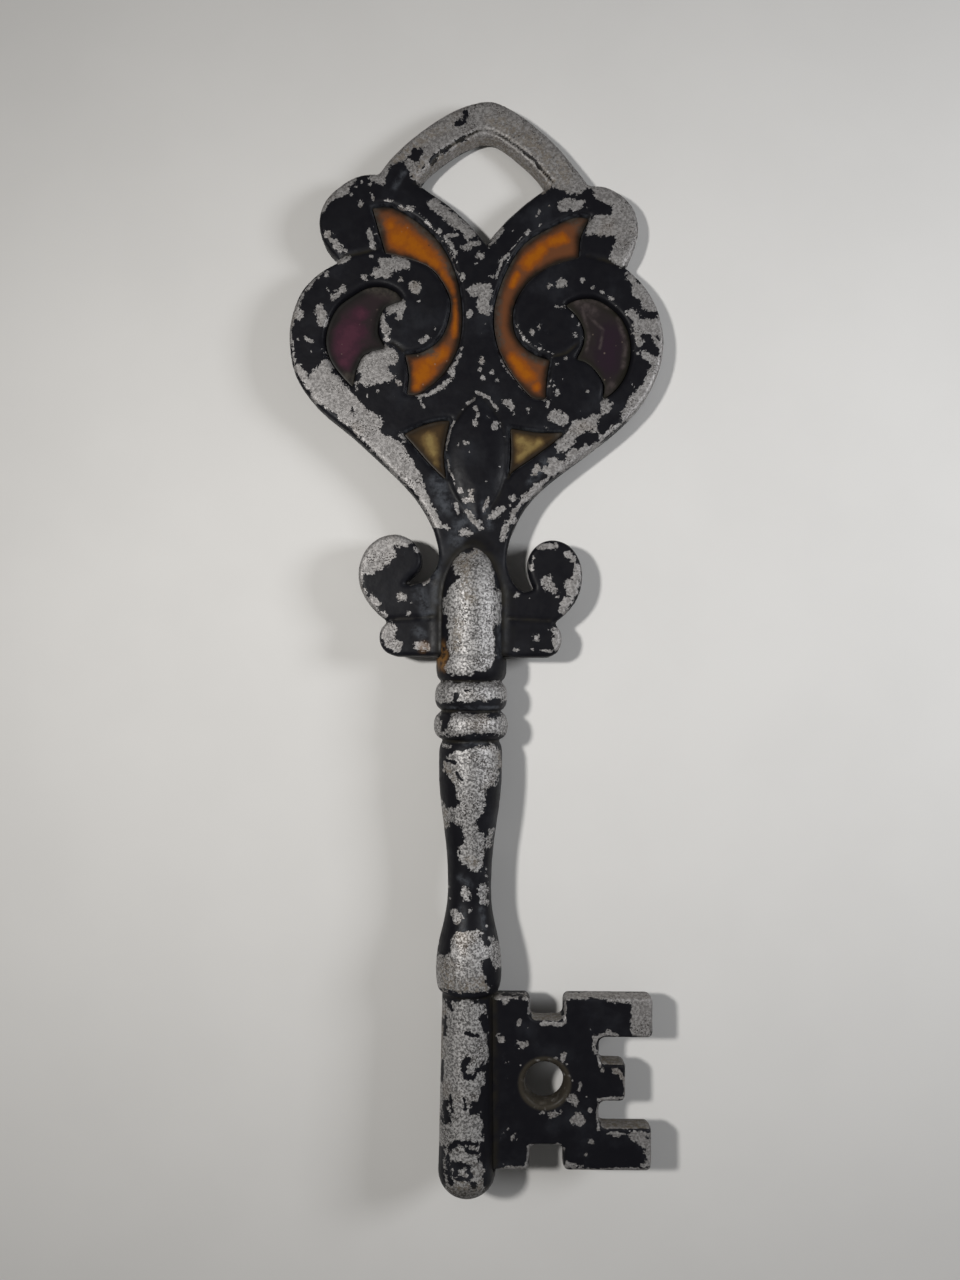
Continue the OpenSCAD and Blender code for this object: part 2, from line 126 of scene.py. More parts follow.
def cover(marks: tuple[Stroke, ...], spots: Spots, low: float, high: float) -> np.ndarray:
    """How thickly soft strokes cover each point.

    Args:
        marks: The strokes.
        spots: First and second coordinates of the points, in millimetres.
        low: Depth at which the cover begins, as a share of a stroke's half width.
        high: Depth at which it is full, as such a share.

    Returns:
        One value for each point, from 0 to 1.
    """
    thickest = np.zeros(len(spots[0]))
    for mark in marks:
        thickness = smoothstep(mark.reach(spots), low * mark.half, high * mark.half)
        thickest = np.maximum(thickest, thickness)
    return thickest


@dataclass(frozen=True)
class WearMap:
    """Where the paint has gone or stayed, and where pale dusting, painted highlights and brown stains lie.

    Args:
        bare: Strokes that take the paint off.
        kept: Strokes that leave it on.
        dust_and_sheen: Soft strokes of pale dusting on the paint; some are painted highlights along ridges.
        stain: Soft strokes of brown stain on the metal.
        far: Greatest distance that the field holds, in millimetres.
    """

    bare: tuple[Stroke, ...]
    kept: tuple[Stroke, ...] = ()
    dust_and_sheen: tuple[Stroke, ...] = ()
    stain: tuple[Stroke, ...] = ()
    far: float = 6.0

    def field(self, spots: Spots) -> np.ndarray:
        """Distance to the edge of the bare places.

        Args:
            spots: First and second coordinates of the points, in millimetres.

        Returns:
            One value for each point, positive on bare metal, in millimetres.
        """
        worn = np.full(len(spots[0]), -self.far)
        for mark in self.bare:
            worn = np.maximum(worn, mark.reach(spots))
        for mark in self.kept:
            worn = np.minimum(worn, -mark.reach(spots))
        return np.clip(worn, -self.far, self.far)


BOW_WEAR = WearMap(
    bare=strokes(
        # Hanging loop, its inner ledge and its right foot
        (3.5, -26.5, 158.5, -20, 163), (6.2, -18, 161, -10, 167, 1, 170, 10, 167),
        (6.2, 10, 167, 20, 160, 27, 153.5, 31, 151),
        (2.6, -17.5, 150, -13, 155.5, -7, 160, 0, 163, 5, 163, 10, 160, 15, 155.5, 19, 151, 22, 147.6),
        (2.2, 25, 150, 34, 150.2), (1.0, 34, 148.8, 38, 147.8, 42, 146.4), (2.0, -20.4, 151.4, -18.2, 157),
        (1.4, -22.2, 154.8, -21, 151.6), (1.0, -19.6, 146.8, -18, 149.6),
        (1.7, -32, 150, -30.2, 153, -27.6, 157.4), (1.5, -34, 149.8, -31.2, 148.8),
        # Left lobe
        (1.7, -47.5, 143.7, -43.6, 145.5), (0.7, -50.5, 138, -48, 143.5, -40, 149.3),
        (0.9, -38, 140.5, -38, 141.5), (1.5, -48.5, 131), (1.0, -48, 129.5, -46, 127.5, -44.5, 126),
        (0.5, -44, 125.8, -42, 125.6), (0.4, -35, 145, -34, 142), (0.8, -35, 132, -34, 127),
        (0.4, -41.3, 144), (0.5, -38, 148.4), (0.4, -39.8, 146.8), (0.5, -35.4, 147.6),
        # Point below the loop
        (1.8, -14.5, 141.6, -9, 137, -2.4, 131.2), (0.7, -12.4, 132.2),
        (0.75, -10.2, 130, -8.8, 127.8, -7.2, 124.6), (0.35, -7, 124, -6.4, 122.2),
        (0.55, -9.4, 130.6, -6.6, 130.9), (0.35, -7.6, 132), (1.0, -4, 127, 0, 128.5), (1.2, 1, 124.5),
        (0.6, -0.5, 121.4), (2.3, -0.6, 112.4, 2.6, 112.6), (2.1, 2.4, 109, 2.2, 107.2),
        (0.9, 3.8, 114, 4, 106), (0.8, -1.8, 105.5, -2.4, 104.5), (0.5, -4.6, 118, -4, 116.8),
        (0.9, 7.6, 133.4, 6.2, 130.4, 4.4, 128), (0.8, 8.8, 124, 7.8, 121.8),
        (0.4, 10.4, 124.8, 9.4, 124.4), (0.35, 7.4, 120.8, 6.6, 117.2), (0.9, 5, 117.4), (0.4, 11.5, 132.4),
        (0.35, -30.5, 142.2, -27, 141.7), (0.8, -25, 140, -21, 139), (0.4, -17, 135.5, -15, 133.5),
        # Left scroll round the amber and violet cells
        (1.9, -32.4, 118.2, -29.5, 118.6), (2.5, -29.4, 121, -26, 121.5), (1.5, -24, 121.6, -22.9, 121.2),
        (1.3, -29.6, 116.8), (1.0, -36.7, 117), (0.7, -24.8, 116), (1.9, -20, 113.5), (0.5, -18.8, 109),
        (0.6, -34.2, 123.6), (0.8, -45, 121.5, -41.5, 123), (0.8, -48.8, 117.8),
        (0.35, -48.7, 113.2, -48, 112), (1.0, -46.5, 110, -43.5, 112.8), (1.5, -50.5, 106.5, -49.8, 101.5),
        (1.7, -58.6, 107, -58, 104), (0.5, -50, 118.6, -55.5, 112, -59, 106, -60.4, 98, -58.7, 89),
        (0.5, -55.5, 97, -53, 95.3), (0.5, -57.4, 96), (0.8, -30.3, 104, -30.4, 102),
        (1.3, -29.7, 100.6, -29.3, 99.2), (0.8, -29.1, 98, -28.9, 96.6), (1.5, -28, 106, -24.5, 108),
        (0.9, -25, 106, -25, 103.4), (0.8, -17.5, 96, -15.4, 96.8), (0.45, -13.3, 99.9), (0.35, -24, 96.2),
        (0.4, -33.5, 126.6), (4.2, -34, 87.5, -29.5, 90.5), (2.6, -35, 83.5, -31.5, 84.5),
        (1.6, -28.5, 83.5, -27, 84.5), (0.5, -38.6, 80, -38.4, 82.2), (0.7, -25, 81.8), (0.5, -31.5, 79.2),
        (0.4, -35, 78),
        # Lower left band
        (2.4, -51, 84, -48.6, 87), (3.6, -50.5, 83.5, -46.5, 81.5), (4.6, -49, 79.5, -44, 76.5, -41, 73.5),
        (3.6, -39.5, 72, -33, 68, -29.5, 62.5), (2.9, -29, 60, -23, 54.5, -20, 50.5),
        (2.3, -26.5, 61.5, -21.5, 54.5), (1.8, -19.5, 50.5, -16.5, 44.5), (1.6, -17.5, 48),
        (1.5, -15.5, 42.5, -12.3, 37), (0.8, -12, 36, -9.6, 35.6), (1.5, -57.5, 86.5, -52.5, 80, -42, 71),
        (1.2, -42, 70.6, -36, 64.8, -30, 58.4, -25, 52.6), (0.7, -24.6, 65.6, -22.6, 64),
        # Edges of the amber cells
        (0.5, -4.4, 93.8, -5.8, 90.6, -7, 88.2), (0.85, -7.5, 87.2, -8, 84.9),
        (0.75, -9.2, 82.9, -11.6, 80.7, -14, 79.1), (0.5, -14, 78.9, -16.5, 78, -19, 77.9),
        (0.4, -18.5, 77.5, -16.8, 74.3), (0.2, -19, 138, -16, 135.6), (0.2, -14.4, 133, -12, 130.2),
        (0.2, -9.6, 127, -8, 122.8, -6, 118, -4.8, 115.6), (0.3, 9.4, 87, 13, 83),
        (0.5, 14.4, 81.6, 18, 78.7), (0.5, 18.4, 78.4, 22.4, 77.2), (0.6, 23.4, 76.4, 23, 74.8),
        (0.5, 7.9, 89.9, 8.9, 88.2), (2.1, 28.4, 140.6, 29.2, 141.4), (1.6, 31.4, 140.8, 33.2, 141.8),
        (0.5, 36.2, 140.2), (0.35, 20.4, 134.8, 21.2, 135.2), (0.3, 22.7, 136.1),
        (0.6, 15.8, 131.6, 17.4, 132.7), (0.2, 10.8, 125.8, 14.6, 130.4),
        # Bud and the ridges at its tips
        (0.55, 0.5, 79.2, 4, 77.6, 6.8, 73.4), (0.5, -0.6, 77, -2.6, 75.8), (0.6, 0, 74.6, 0.8, 72),
        (0.45, -4, 73.6), (0.8, -0.2, 68.8, -0.2, 69.8), (0.3, -7, 70, -8.8, 64, -9.2, 60),
        (0.3, -8.8, 57, -7.8, 53, -6.6, 49.6), (0.45, -5.6, 61.9), (0.75, -3.2, 62.8, -2, 63.2),
        (1.1, -3.4, 44.3, -1.8, 44.2), (0.6, -6.2, 43, -6, 41), (0.5, -5.8, 40),
        (0.8, -1.4, 46.2, -1, 47.2), (0.6, -5.2, 48, -4.6, 46.6), (0.8, -2.4, 40.5, 0.5, 36.5),
        (0.6, 1.6, 37.4, 1.2, 35.6), (1.2, -3.6, 33.6, -2, 33.5), (0.8, -8.8, 35.2),
        (0.5, 2.8, 41, 4.4, 45), (1.1, 5.2, 39, 8.4, 41.4), (1.0, 12.2, 45), (0.5, 11.3, 42.8),
        (1.1, 6.8, 68.4), (0.9, 9.6, 76, 12, 74.6), (0.7, 12, 72.6), (0.9, 16.7, 74),
        # Small chips round the upper middle
        (1.1, 2, 89.7), (0.7, 5.3, 86), (0.9, 2.2, 83.8), (0.7, 6.8, 83.2), (0.5, 1.4, 86.4),
        (0.4, 4.5, 98), (0.4, 9.2, 65), (0.4, 7.8, 55), (0.4, 3.6, 50.4), (1.2, 18.8, 53.8, 20, 54.6),
        # Right scroll round the amber and violet cells
        (0.8, 23.5, 114.5), (1.8, 27.5, 115.5), (0.8, 34.5, 116.3), (0.7, 38, 114),
        (0.5, 40, 113, 41, 112.3), (0.5, 43, 111, 44, 110.6), (0.55, 25.8, 107.8, 28.2, 107.3),
        (0.5, 31.3, 104.3), (0.6, 33, 101.3), (0.8, 31.8, 98.2), (0.8, 17.6, 99.6, 17.8, 98.8),
        (0.6, 15.4, 97.2), (0.22, 13.5, 100, 16.6, 96.4, 20, 94.2, 25, 92), (0.45, 20.6, 93.8),
        (0.8, 29.3, 91), (0.5, 26.4, 88.6), (0.5, 36, 80), (0.5, 25.2, 81.6), (0.8, 26.3, 79.3),
        (1.2, 41.5, 76.5, 41, 73.5, 43, 75.5), (0.5, 45.2, 108), (2.2, 25.4, 71.6, 28, 70.6),
        (0.8, 24.6, 73.4), (2.0, 37.4, 69.4, 32.6, 68, 30.5, 64.5), (2.0, 30.6, 64, 27.8, 61.8),
        (1.0, 38.2, 71, 38.8, 67), (0.4, 50.2, 83, 50.8, 81.4),
        # Right lobe and the right outer band
        (3.6, 41, 146.5, 46, 142.5, 48.8, 136, 48.4, 129, 46.8, 124.5), (3.4, 39.4, 134.6, 46, 135),
        (1.2, 36.6, 134, 36.6, 132), (1.4, 49.8, 117.6, 52, 114.6), (2.4, 53, 113, 56.8, 109.4),
        (2.2, 55.2, 108.6, 58.2, 108), (1.8, 50.4, 105.4, 51.4, 104.6), (2.6, 53.2, 101.6, 58, 101.8),
        (1.2, 52, 98, 53, 96), (0.8, 57, 100, 58.5, 96), (0.9, 59.6, 104, 60, 95, 58.8, 88),
        (0.7, 52, 92.7), (1.4, 54.5, 92, 57.2, 89.8), (2.4, 58.6, 87, 56.2, 82),
        (2.6, 55, 80.6, 51.6, 75.6), (2.0, 50.4, 75, 48.8, 72.2), (0.8, 46.5, 69.6, 41, 65),
        (1.7, 39.4, 63.6, 33.4, 59), (2.2, 32, 59, 27, 55.4), (2.3, 25.6, 56, 24.6, 54), (1.0, 23.8, 57),
        (0.8, 24, 52, 20.5, 49), (1.3, 20.4, 48.4, 16.4, 45.2), (0.7, 15.4, 43.8, 12, 39.8),
        (1.0, 12.6, 38.2, 10.8, 37.4), (0.8, 10, 36, 9, 31.4),
        # Small scrolls of the wings
        (3.4, -34, 23.4, -32, 27, -28.5, 30), (3.0, -31, 24.6, -28, 27), (2.0, -27, 31, -22, 31),
        (0.9, -36.6, 21, -36.4, 15.5, -33, 9.8, -28.5, 6.6), (1.4, -33.2, 12.2, -31, 10.8),
        (0.8, -18.6, 28.2, -18.2, 27.4), (1.2, -24, 12.9, -22.8, 12.3), (0.6, -21.2, 7.6), (0.4, -20, 11),
        (0.7, -16.2, 17.4, -14.8, 18.4), (0.35, -21, 17, -17.4, 17.4, -14, 20.4, -12.8, 23.6),
        (2.4, -27.2, 2.2, -27, -1), (1.9, -25.4, -2.2, -24.6, -3), (1.4, -17.8, -2.6, -15.4, -3.2),
        (0.9, 20.8, 29.6, 26, 29.8), (1.2, 30, 26.6, 31.2, 25.8), (0.6, 19.2, 25.6),
        (0.8, 18, 23.4, 18.6, 22.6), (1.7, 23, 18.6, 24.8, 16.2), (1.2, 33, 23, 32.8, 17),
        (2.0, 30.8, 17.6, 31.4, 15.4), (1.3, 30.5, 12.5, 28, 9), (1.1, 13.8, 13.4), (0.4, 17.8, 12.6),
        (0.5, 26.6, 13.4), (1.5, 26.6, 2, 26.8, -2.4), (0.8, 24.8, 2.8), (1.0, 19.7, 0.2),
        (0.4, 12.8, -3.8, 14.4, -4.2), (0.35, 18.6, -3.8, 19.2, -3.9), (0.4, 21, -4.2, 25, -3.8),
    ),
    kept=strokes(
        (1.8, -20.3, 157.3, -20, 158.1), (1.0, -7, 167.7, -4.6, 168.6), (0.8, -4.6, 169, -4, 171.6),
        (2.6, -25.9, 146.6, -25.9, 152.6), (0.9, -15.4, 155, -13.4, 157), (0.9, -12, 158.4, -9.4, 160.2),
        (0.4, -8.4, 161), (0.8, -6.8, 162.2, -4, 163.6), (0.2, -3.6, 164.2, 0, 165.7, 2.4, 166, 4.6, 165.4),
        (0.3, 4.6, 165.4, 8, 163.8, 12, 161.2, 16, 158, 19, 155.2, 22, 151.8, 24.6, 148.8),
        (0.5, 17.6, 156.6, 21, 153.2), (0.15, -21.6, 150, -19.4, 154.6), (0.15, -19.2, 150, -17, 154.2),
        (0.12, -20.4, 150.4, -18, 155), (2.6, -23.4, 144, -20.8, 146), (0.45, -40, 74.2, -39.4, 71.6),
        (2.3, -28.4, 67, -26, 66.6), (1.5, -27, 87, -25.5, 86), (0.2, 30.1, 144.2, 30.2, 143.2),
        (1.0, 53, 105.5, 58.4, 105.6), (1.1, 56, 97.2, 56.4, 94), (1.2, 51.4, 109.6),
        (1.9, 34, 64, 38, 64.6), (2.3, 38, 127.5, 41.6, 128.5), (1.0, 40.6, 141.4, 43.2, 140.2),
        (1.6, 36.8, 138.6, 38.5, 140.2), (1.1, 24, 60, 28, 58.6), (2.0, 52.6, 89, 50, 87),
    ),
    # Pale dusting, and painted highlights along the ridges below the bud and beside the barrel
    dust_and_sheen=strokes(
        (3.4, -12, 50, -9, 42), (2.2, -3, 43, 0, 36), (2.6, -17.4, 14, -14.6, 7.6),
        (1.6, -19, 2.6, -16, 0.6), (2.2, -12, 60, -9.6, 56), (3.0, -4, 37, -6, 31), (1.6, 22, 57, 18, 50),
        (1.2, -27, 147, -24, 152), (2.0, -12.6, 24, -12.2, 12), (1.6, 3, 43, 5, 36),
    ),
    stain=strokes(
        (2.0, -18, 149.6, -13, 155.4, -7, 159.8, 0, 162.2, 5, 162.2, 10, 159, 15, 154.6, 19, 150.4, 23.4,
         148),
        (2.6, 22, 152, 25, 147.4), (1.4, -21, 150, -17, 156), (3.4, 5, 169.4, 15, 164, 24, 156, 29, 150.6),
        (1.8, -27, 155, -19, 162.4, -9, 167.4), (1.6, -16, 21, -13, 30), (1.4, -11, 156, -9, 158),
        (2.2, -38, 138, -34, 141),
    ),
)

SHANK_WEAR = WearMap(
    bare=strokes(
        # Cheeks and foot of the barrel
        (3.3, -3.5, 24, -3.3, 22.2), (4.6, 1.0, 23.6, 1.4, 20), (1.9, 1.5, 28), (5.5, 0.8, 19, 1, 14),
        (7.6, -1, 12.6, -0.9, 8), (1.3, -8.6, 11.2, -8.5, 8.2), (1.2, 7.4, 14, 7.5, 5.6),
        (7.3, -1.1, 6, -0.8, -3.4), (3.0, 4.0, -6.2), (3.4, -5.4, -8.4, 3.4, -6.6),
        (2.3, -6.8, -9.5, -1.6, -9.7), (1.0, 1.5, -10, 4, -9.8),
        # Collars
        (3.2, -10, -17.5, 8.4, -17.3), (3.4, -9.8, -27.9, 8.6, -27.5),
        # Baluster
        (0.4, -9.2, -34.5, -6.8, -34.4), (5.4, 1.6, -40.8, 1.4, -43), (4.2, -5.2, -40.6, 4.6, -38.4),
        (1.2, 4.8, -35, 6, -34.8), (2.4, 6.6, -38, 7.4, -43), (6.4, -1, -43.5, 0.8, -46),
        (4.2, -0.8, -48, -0.2, -56), (3.0, -6, -55.5, -2, -57), (3.6, 0.2, -60, 0.4, -68.5),
        (2.3, -2.4, -68.4, -2, -69.4), (2.5, 0.2, -69, 1.2, -71.6), (1.2, 0.2, -72.7, 1.9, -72.7),
        (1.2, -8.8, -52.6, -8.6, -59), (0.8, 6.4, -61, 4.8, -66),
        # Waist
        (1.05, -2.3, -80, -1.6, -82.6), (1.3, 3.6, -79.4, 4.2, -83.4), (1.1, -5.3, -86.6, -4.6, -89.2),
        (0.7, -0.4, -86.3), (0.45, 4.6, -91), (0.4, -7.4, -79), (0.35, -7, -82.4), (0.35, -8.2, -85.5),
        (0.7, -3.6, -88.4), (0.5, 4.5, -75.6),
        # Bulb
        (4.6, -2, -97.2, 1.4, -97.2), (8.4, -1.6, -103.4, -0.8, -106), (3.4, 5.4, -97.6, 8, -100.8),
        (3.4, -8, -102.4, -8, -108), (0.9, 6.8, -108.2),
        # Pin
        (6.2, -2.4, -120.4, -2.4, -131), (3.0, 2, -118, 2.4, -129), (5.8, -2.6, -131, -2.4, -158),
        (2.6, 2, -127, 2.6, -131.5), (2.4, 1.6, -152, 1.8, -157.4), (5.6, -2.8, -158, -1.8, -168.5),
        (2.8, 2, -166, 1.4, -170), (1.6, -8, -116, -8.4, -130), (0.8, 5.8, -125.5, 5.9, -132.6),
        (1.8, 3, -138, 3.4, -139), (0.5, 3.8, -145.8), (1.2, -8.2, -131, -8.4, -158),
        (3.2, -4, -171.6, 1.6, -172.2),
    ),
    kept=strokes(
        (0.6, -5.6, -18.2, -5.8, -20.4), (0.35, -2.6, -17, -1.4, -17.4), (1.0, 5.4, -20.4, 8, -20.6),
        (1.5, -8.9, -23.4, -8.8, -27.4), (0.6, -9.2, -28.4, -9.2, -29.4), (1.0, 5.6, -24.5, 8.2, -24.4),
        (0.35, 0.4, -30.6, 8, -30.9), (0.5, -9, -38.6, -5.6, -40), (0.5, -5, -42.6, -3.4, -45.4),
        (0.6, -7.6, -45, -7.4, -47), (2.6, -8, -48.6, -6.8, -52), (0.8, 9, -42, 8.6, -46.6),
        (2.1, 6.4, -49, 6, -55.6, 3.2, -59.4), (2.2, -5.4, -62, -6.4, -68), (1.0, -3.6, -63, -3.4, -65),
        (0.8, 4.8, -67, 4.4, -72), (2.0, 5.2, -103, 6.6, -108), (1.6, -9, -93.6, -8.6, -99),
        (0.9, 4, -94.4, 5.2, -96.6), (1.4, -7, -113, 7, -113), (0.5, -7.4, -114.4, -5.8, -117.8),
        (1.3, 4.2, -119.6, 5.2, -123.6), (0.7, -1.6, -124.8, 2.4, -125), (0.7, -8.2, -120, -8, -124.6),
        (0.9, -1.2, -132.8, -2.5, -135.4, -1.6, -138, 1, -138.2), (0.8, 1, -138, 2.4, -135.6, 5, -134.2),
        (1.5, 6.4, -136, 5.6, -141, 4.4, -144.6, 2.6, -147.4), (0.9, 1.4, -146.2, 0.9, -148.6),
        (0.5, -8.6, -133, -8.4, -139), (1.1, -7.6, -146, -7.3, -151.4),
        (0.45, -6.2, -143.4, -5.4, -148.6), (0.45, -1.6, -144.8, -1.2, -148),
        (0.8, -6.6, -160, -4.4, -158.4, 2.2, -158.6), (0.8, -1, -160.6, 2.6, -161.4),
        (1.0, -5, -164.8, -1, -165.2), (0.9, -4.2, -169.2, -0.4, -169.2), (0.8, -4.2, -165, -4.2, -169),
        (1.0, -0.6, -165.4, 0.2, -168.8), (0.7, -6.8, -162.4, -6.4, -167, -5.6, -170.6),
        (0.8, 1, -170.4, 1.8, -171.6), (0.9, 3.6, -162.6, 5.2, -166), (0.9, -9, -160, -8, -170.6),
        (1.8, 7, -118, 7.4, -133),
    ),
    # Pale dusting, and painted highlights in the groove between the collars and along the barrel's right side
    dust_and_sheen=strokes(
        (1.4, -3.4, -76, -1, -78.4), (1.6, -3.4, -86, -3, -92), (1.0, 3.2, -86, 4, -91.6),
        (1.2, -2, -33.6, 3, -33.4), (0.6, -8, -22.4, 8, -22.4), (1.0, 8.2, 14, 8.2, -6),
    ),
    stain=strokes(
        (3.4, -8.4, -42, -7.6, -43.6), (3.0, -8, -104, -7, -110), (3.4, -2, -110.4, 4, -109.4),
        (1.6, -9, -56, -9, -60), (1.4, 8.4, -37, 8.8, -42), (2.4, -4, -171.4, 2, -172),
        (1.6, -1, -70, 1, -71), (1.2, -8.6, -118, -8.8, -132), (2.0, -1, 27, 2, 29),
        (2.6, -3.6, 25, -1.6, 12), (2.2, -5, 5, -5.4, -3),
    ),
)

BIT_WEAR = WearMap(
    bare=strokes(
        # Upper edge and upper tooth
        (0.5, 8, -113.2, 14.5, -113.2), (1.0, 10.8, -113.8, 11.2, -114.4), (0.5, 16.6, -113.6, 18.8, -114),
        (0.45, 18.7, -114, 18.4, -118.4), (0.6, 22.5, -121, 29, -121.3), (0.45, 29.6, -113, 29.8, -121),
        (1.0, 30.2, -112.8, 36, -112.4), (1.1, 36, -112, 44, -112.4), (1.6, 44, -112.8, 56, -113),
        (3.5, 53.9, -115, 54, -122.4), (0.5, 40.6, -124.7, 43, -124.2, 46, -124.4), (0.6, 43.5, -124),
        # Gaps between the teeth
        (0.8, 39.4, -125.2, 39.1, -127.4, 39.6, -130), (0.4, 40.3, -131, 40.5, -134.6), (0.6, 41.4, -135.5),
        (0.7, 45.5, -135.5, 47.2, -136.4, 48.4, -138.6), (0.35, 48.7, -138, 48.7, -144),
        (0.5, 40.4, -144.6, 48.6, -144.3), (0.3, 40.2, -146, 40.1, -150), (0.5, 40.4, -150, 40.1, -153.6),
        # Lower tooth and lower edge
        (0.4, 43, -155, 50, -155), (0.7, 45.6, -155.5), (0.9, 50.5, -155.3, 56, -155.3),
        (1.6, 52.6, -156, 55.6, -158), (1.2, 56.1, -158, 56.5, -164), (0.9, 54.5, -164.8, 56.4, -164.4),
        (1.0, 29.8, -164.8, 32.8, -165), (0.5, 33, -166, 57, -165.7), (0.5, 35, -165.2),
        (0.5, 10, -166.4, 13, -165.6, 17.6, -166), (0.5, 18.6, -159.5, 18.1, -165.6),
        (0.25, 19, -158.9, 28.6, -158.6), (0.3, 29.3, -159.6, 29.2, -165),
        # Chips
        (0.6, 15.6, -120.3, 15.2, -121.9), (0.75, 9.2, -125.4, 10, -126.6),
        (0.8, 15.2, -127.8, 17.6, -127.6), (0.3, 15.9, -134.3), (1.0, 29.6, -131.2, 29.4, -132.2),
        (0.5, 30.3, -134), (0.35, 26.9, -131.7), (0.3, 32, -138.8), (0.6, 34.9, -139.9, 34.4, -141.6),
        (1.2, 31.8, -144.3, 33.2, -145.5), (0.6, 31, -145), (0.35, 36.8, -143.8), (0.55, 37.9, -147.9),
        (1.6, 33.6, -150.3, 34.4, -151.2), (0.6, 32.2, -151), (0.6, 22.5, -148.8),
        (0.8, 25.2, -149.5, 27.4, -149), (0.4, 28.5, -148), (0.9, 38.2, -157.8), (0.45, 36.7, -161.4),
        (0.85, 13.6, -156.4), (0.3, 12.3, -154), (0.35, 23.8, -158.8), (0.45, 27.6, -158.5),
    ),
)

def deselect_all() -> None:
    """Leaves object mode with nothing selected."""
    if bpy.context.object and bpy.context.object.mode != "OBJECT":
        bpy.ops.object.mode_set(mode="OBJECT")
    bpy.ops.object.select_all(action="DESELECT")


def activate(piece: bpy.types.Object) -> None:
    """Selects one piece alone and makes it active.

    Args:
        piece: The piece.
    """
    deselect_all()
    piece.select_set(True)
    bpy.context.view_layer.objects.active = piece


def apply_modifier(piece: bpy.types.Object, kind: str, **settings: object) -> None:
    """Adds a modifier to a piece and applies it.

    Args:
        piece: The piece.
        kind: Blender's name for the kind of modifier.
        settings: Its properties.
    """
    modifier = piece.modifiers.new(kind.title(), kind)
    for name, value in settings.items():
        setattr(modifier, name, value)
    activate(piece)
    bpy.ops.object.modifier_apply(modifier=modifier.name)


def merged_copy(node: str, name: str) -> bpy.types.Object:
    """A copy of a CAD node with its loose triangles joined.

    Args:
        node: Name of the CAD node.
        name: Name of the new piece.

    Returns:
        The new piece, linked to the scene.
    """
    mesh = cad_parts[node].data.copy()
    mesh.name = name
    mesh.materials.clear()
    piece = bpy.data.objects.new(name, mesh)
    bpy.context.scene.collection.objects.link(piece)
    activate(piece)
    bpy.ops.object.mode_set(mode="EDIT")
    bpy.ops.mesh.select_all(action="SELECT")
    bpy.ops.mesh.remove_doubles(threshold=WELD * MM)
    bpy.ops.mesh.normals_make_consistent(inside=False)
    bpy.ops.object.mode_set(mode="OBJECT")
    return piece


def fine_skin(node: str, name: str, voxel: float, passes: int) -> bpy.types.Object:
    """A merged copy of a CAD node with an even, fine mesh and softened edges.

    Args:
        node: Name of the CAD node.
        name: Name of the new piece.
        voxel: Distance between the vertices, in millimetres.
        passes: How many times it is smoothed.

    Returns:
        The new piece.
    """
    piece = merged_copy(node, name)
    apply_modifier(piece, "REMESH", mode="VOXEL", voxel_size=voxel * MM, adaptivity=0.0)
    apply_modifier(piece, "SMOOTH", factor=0.5, iterations=passes)
    return piece


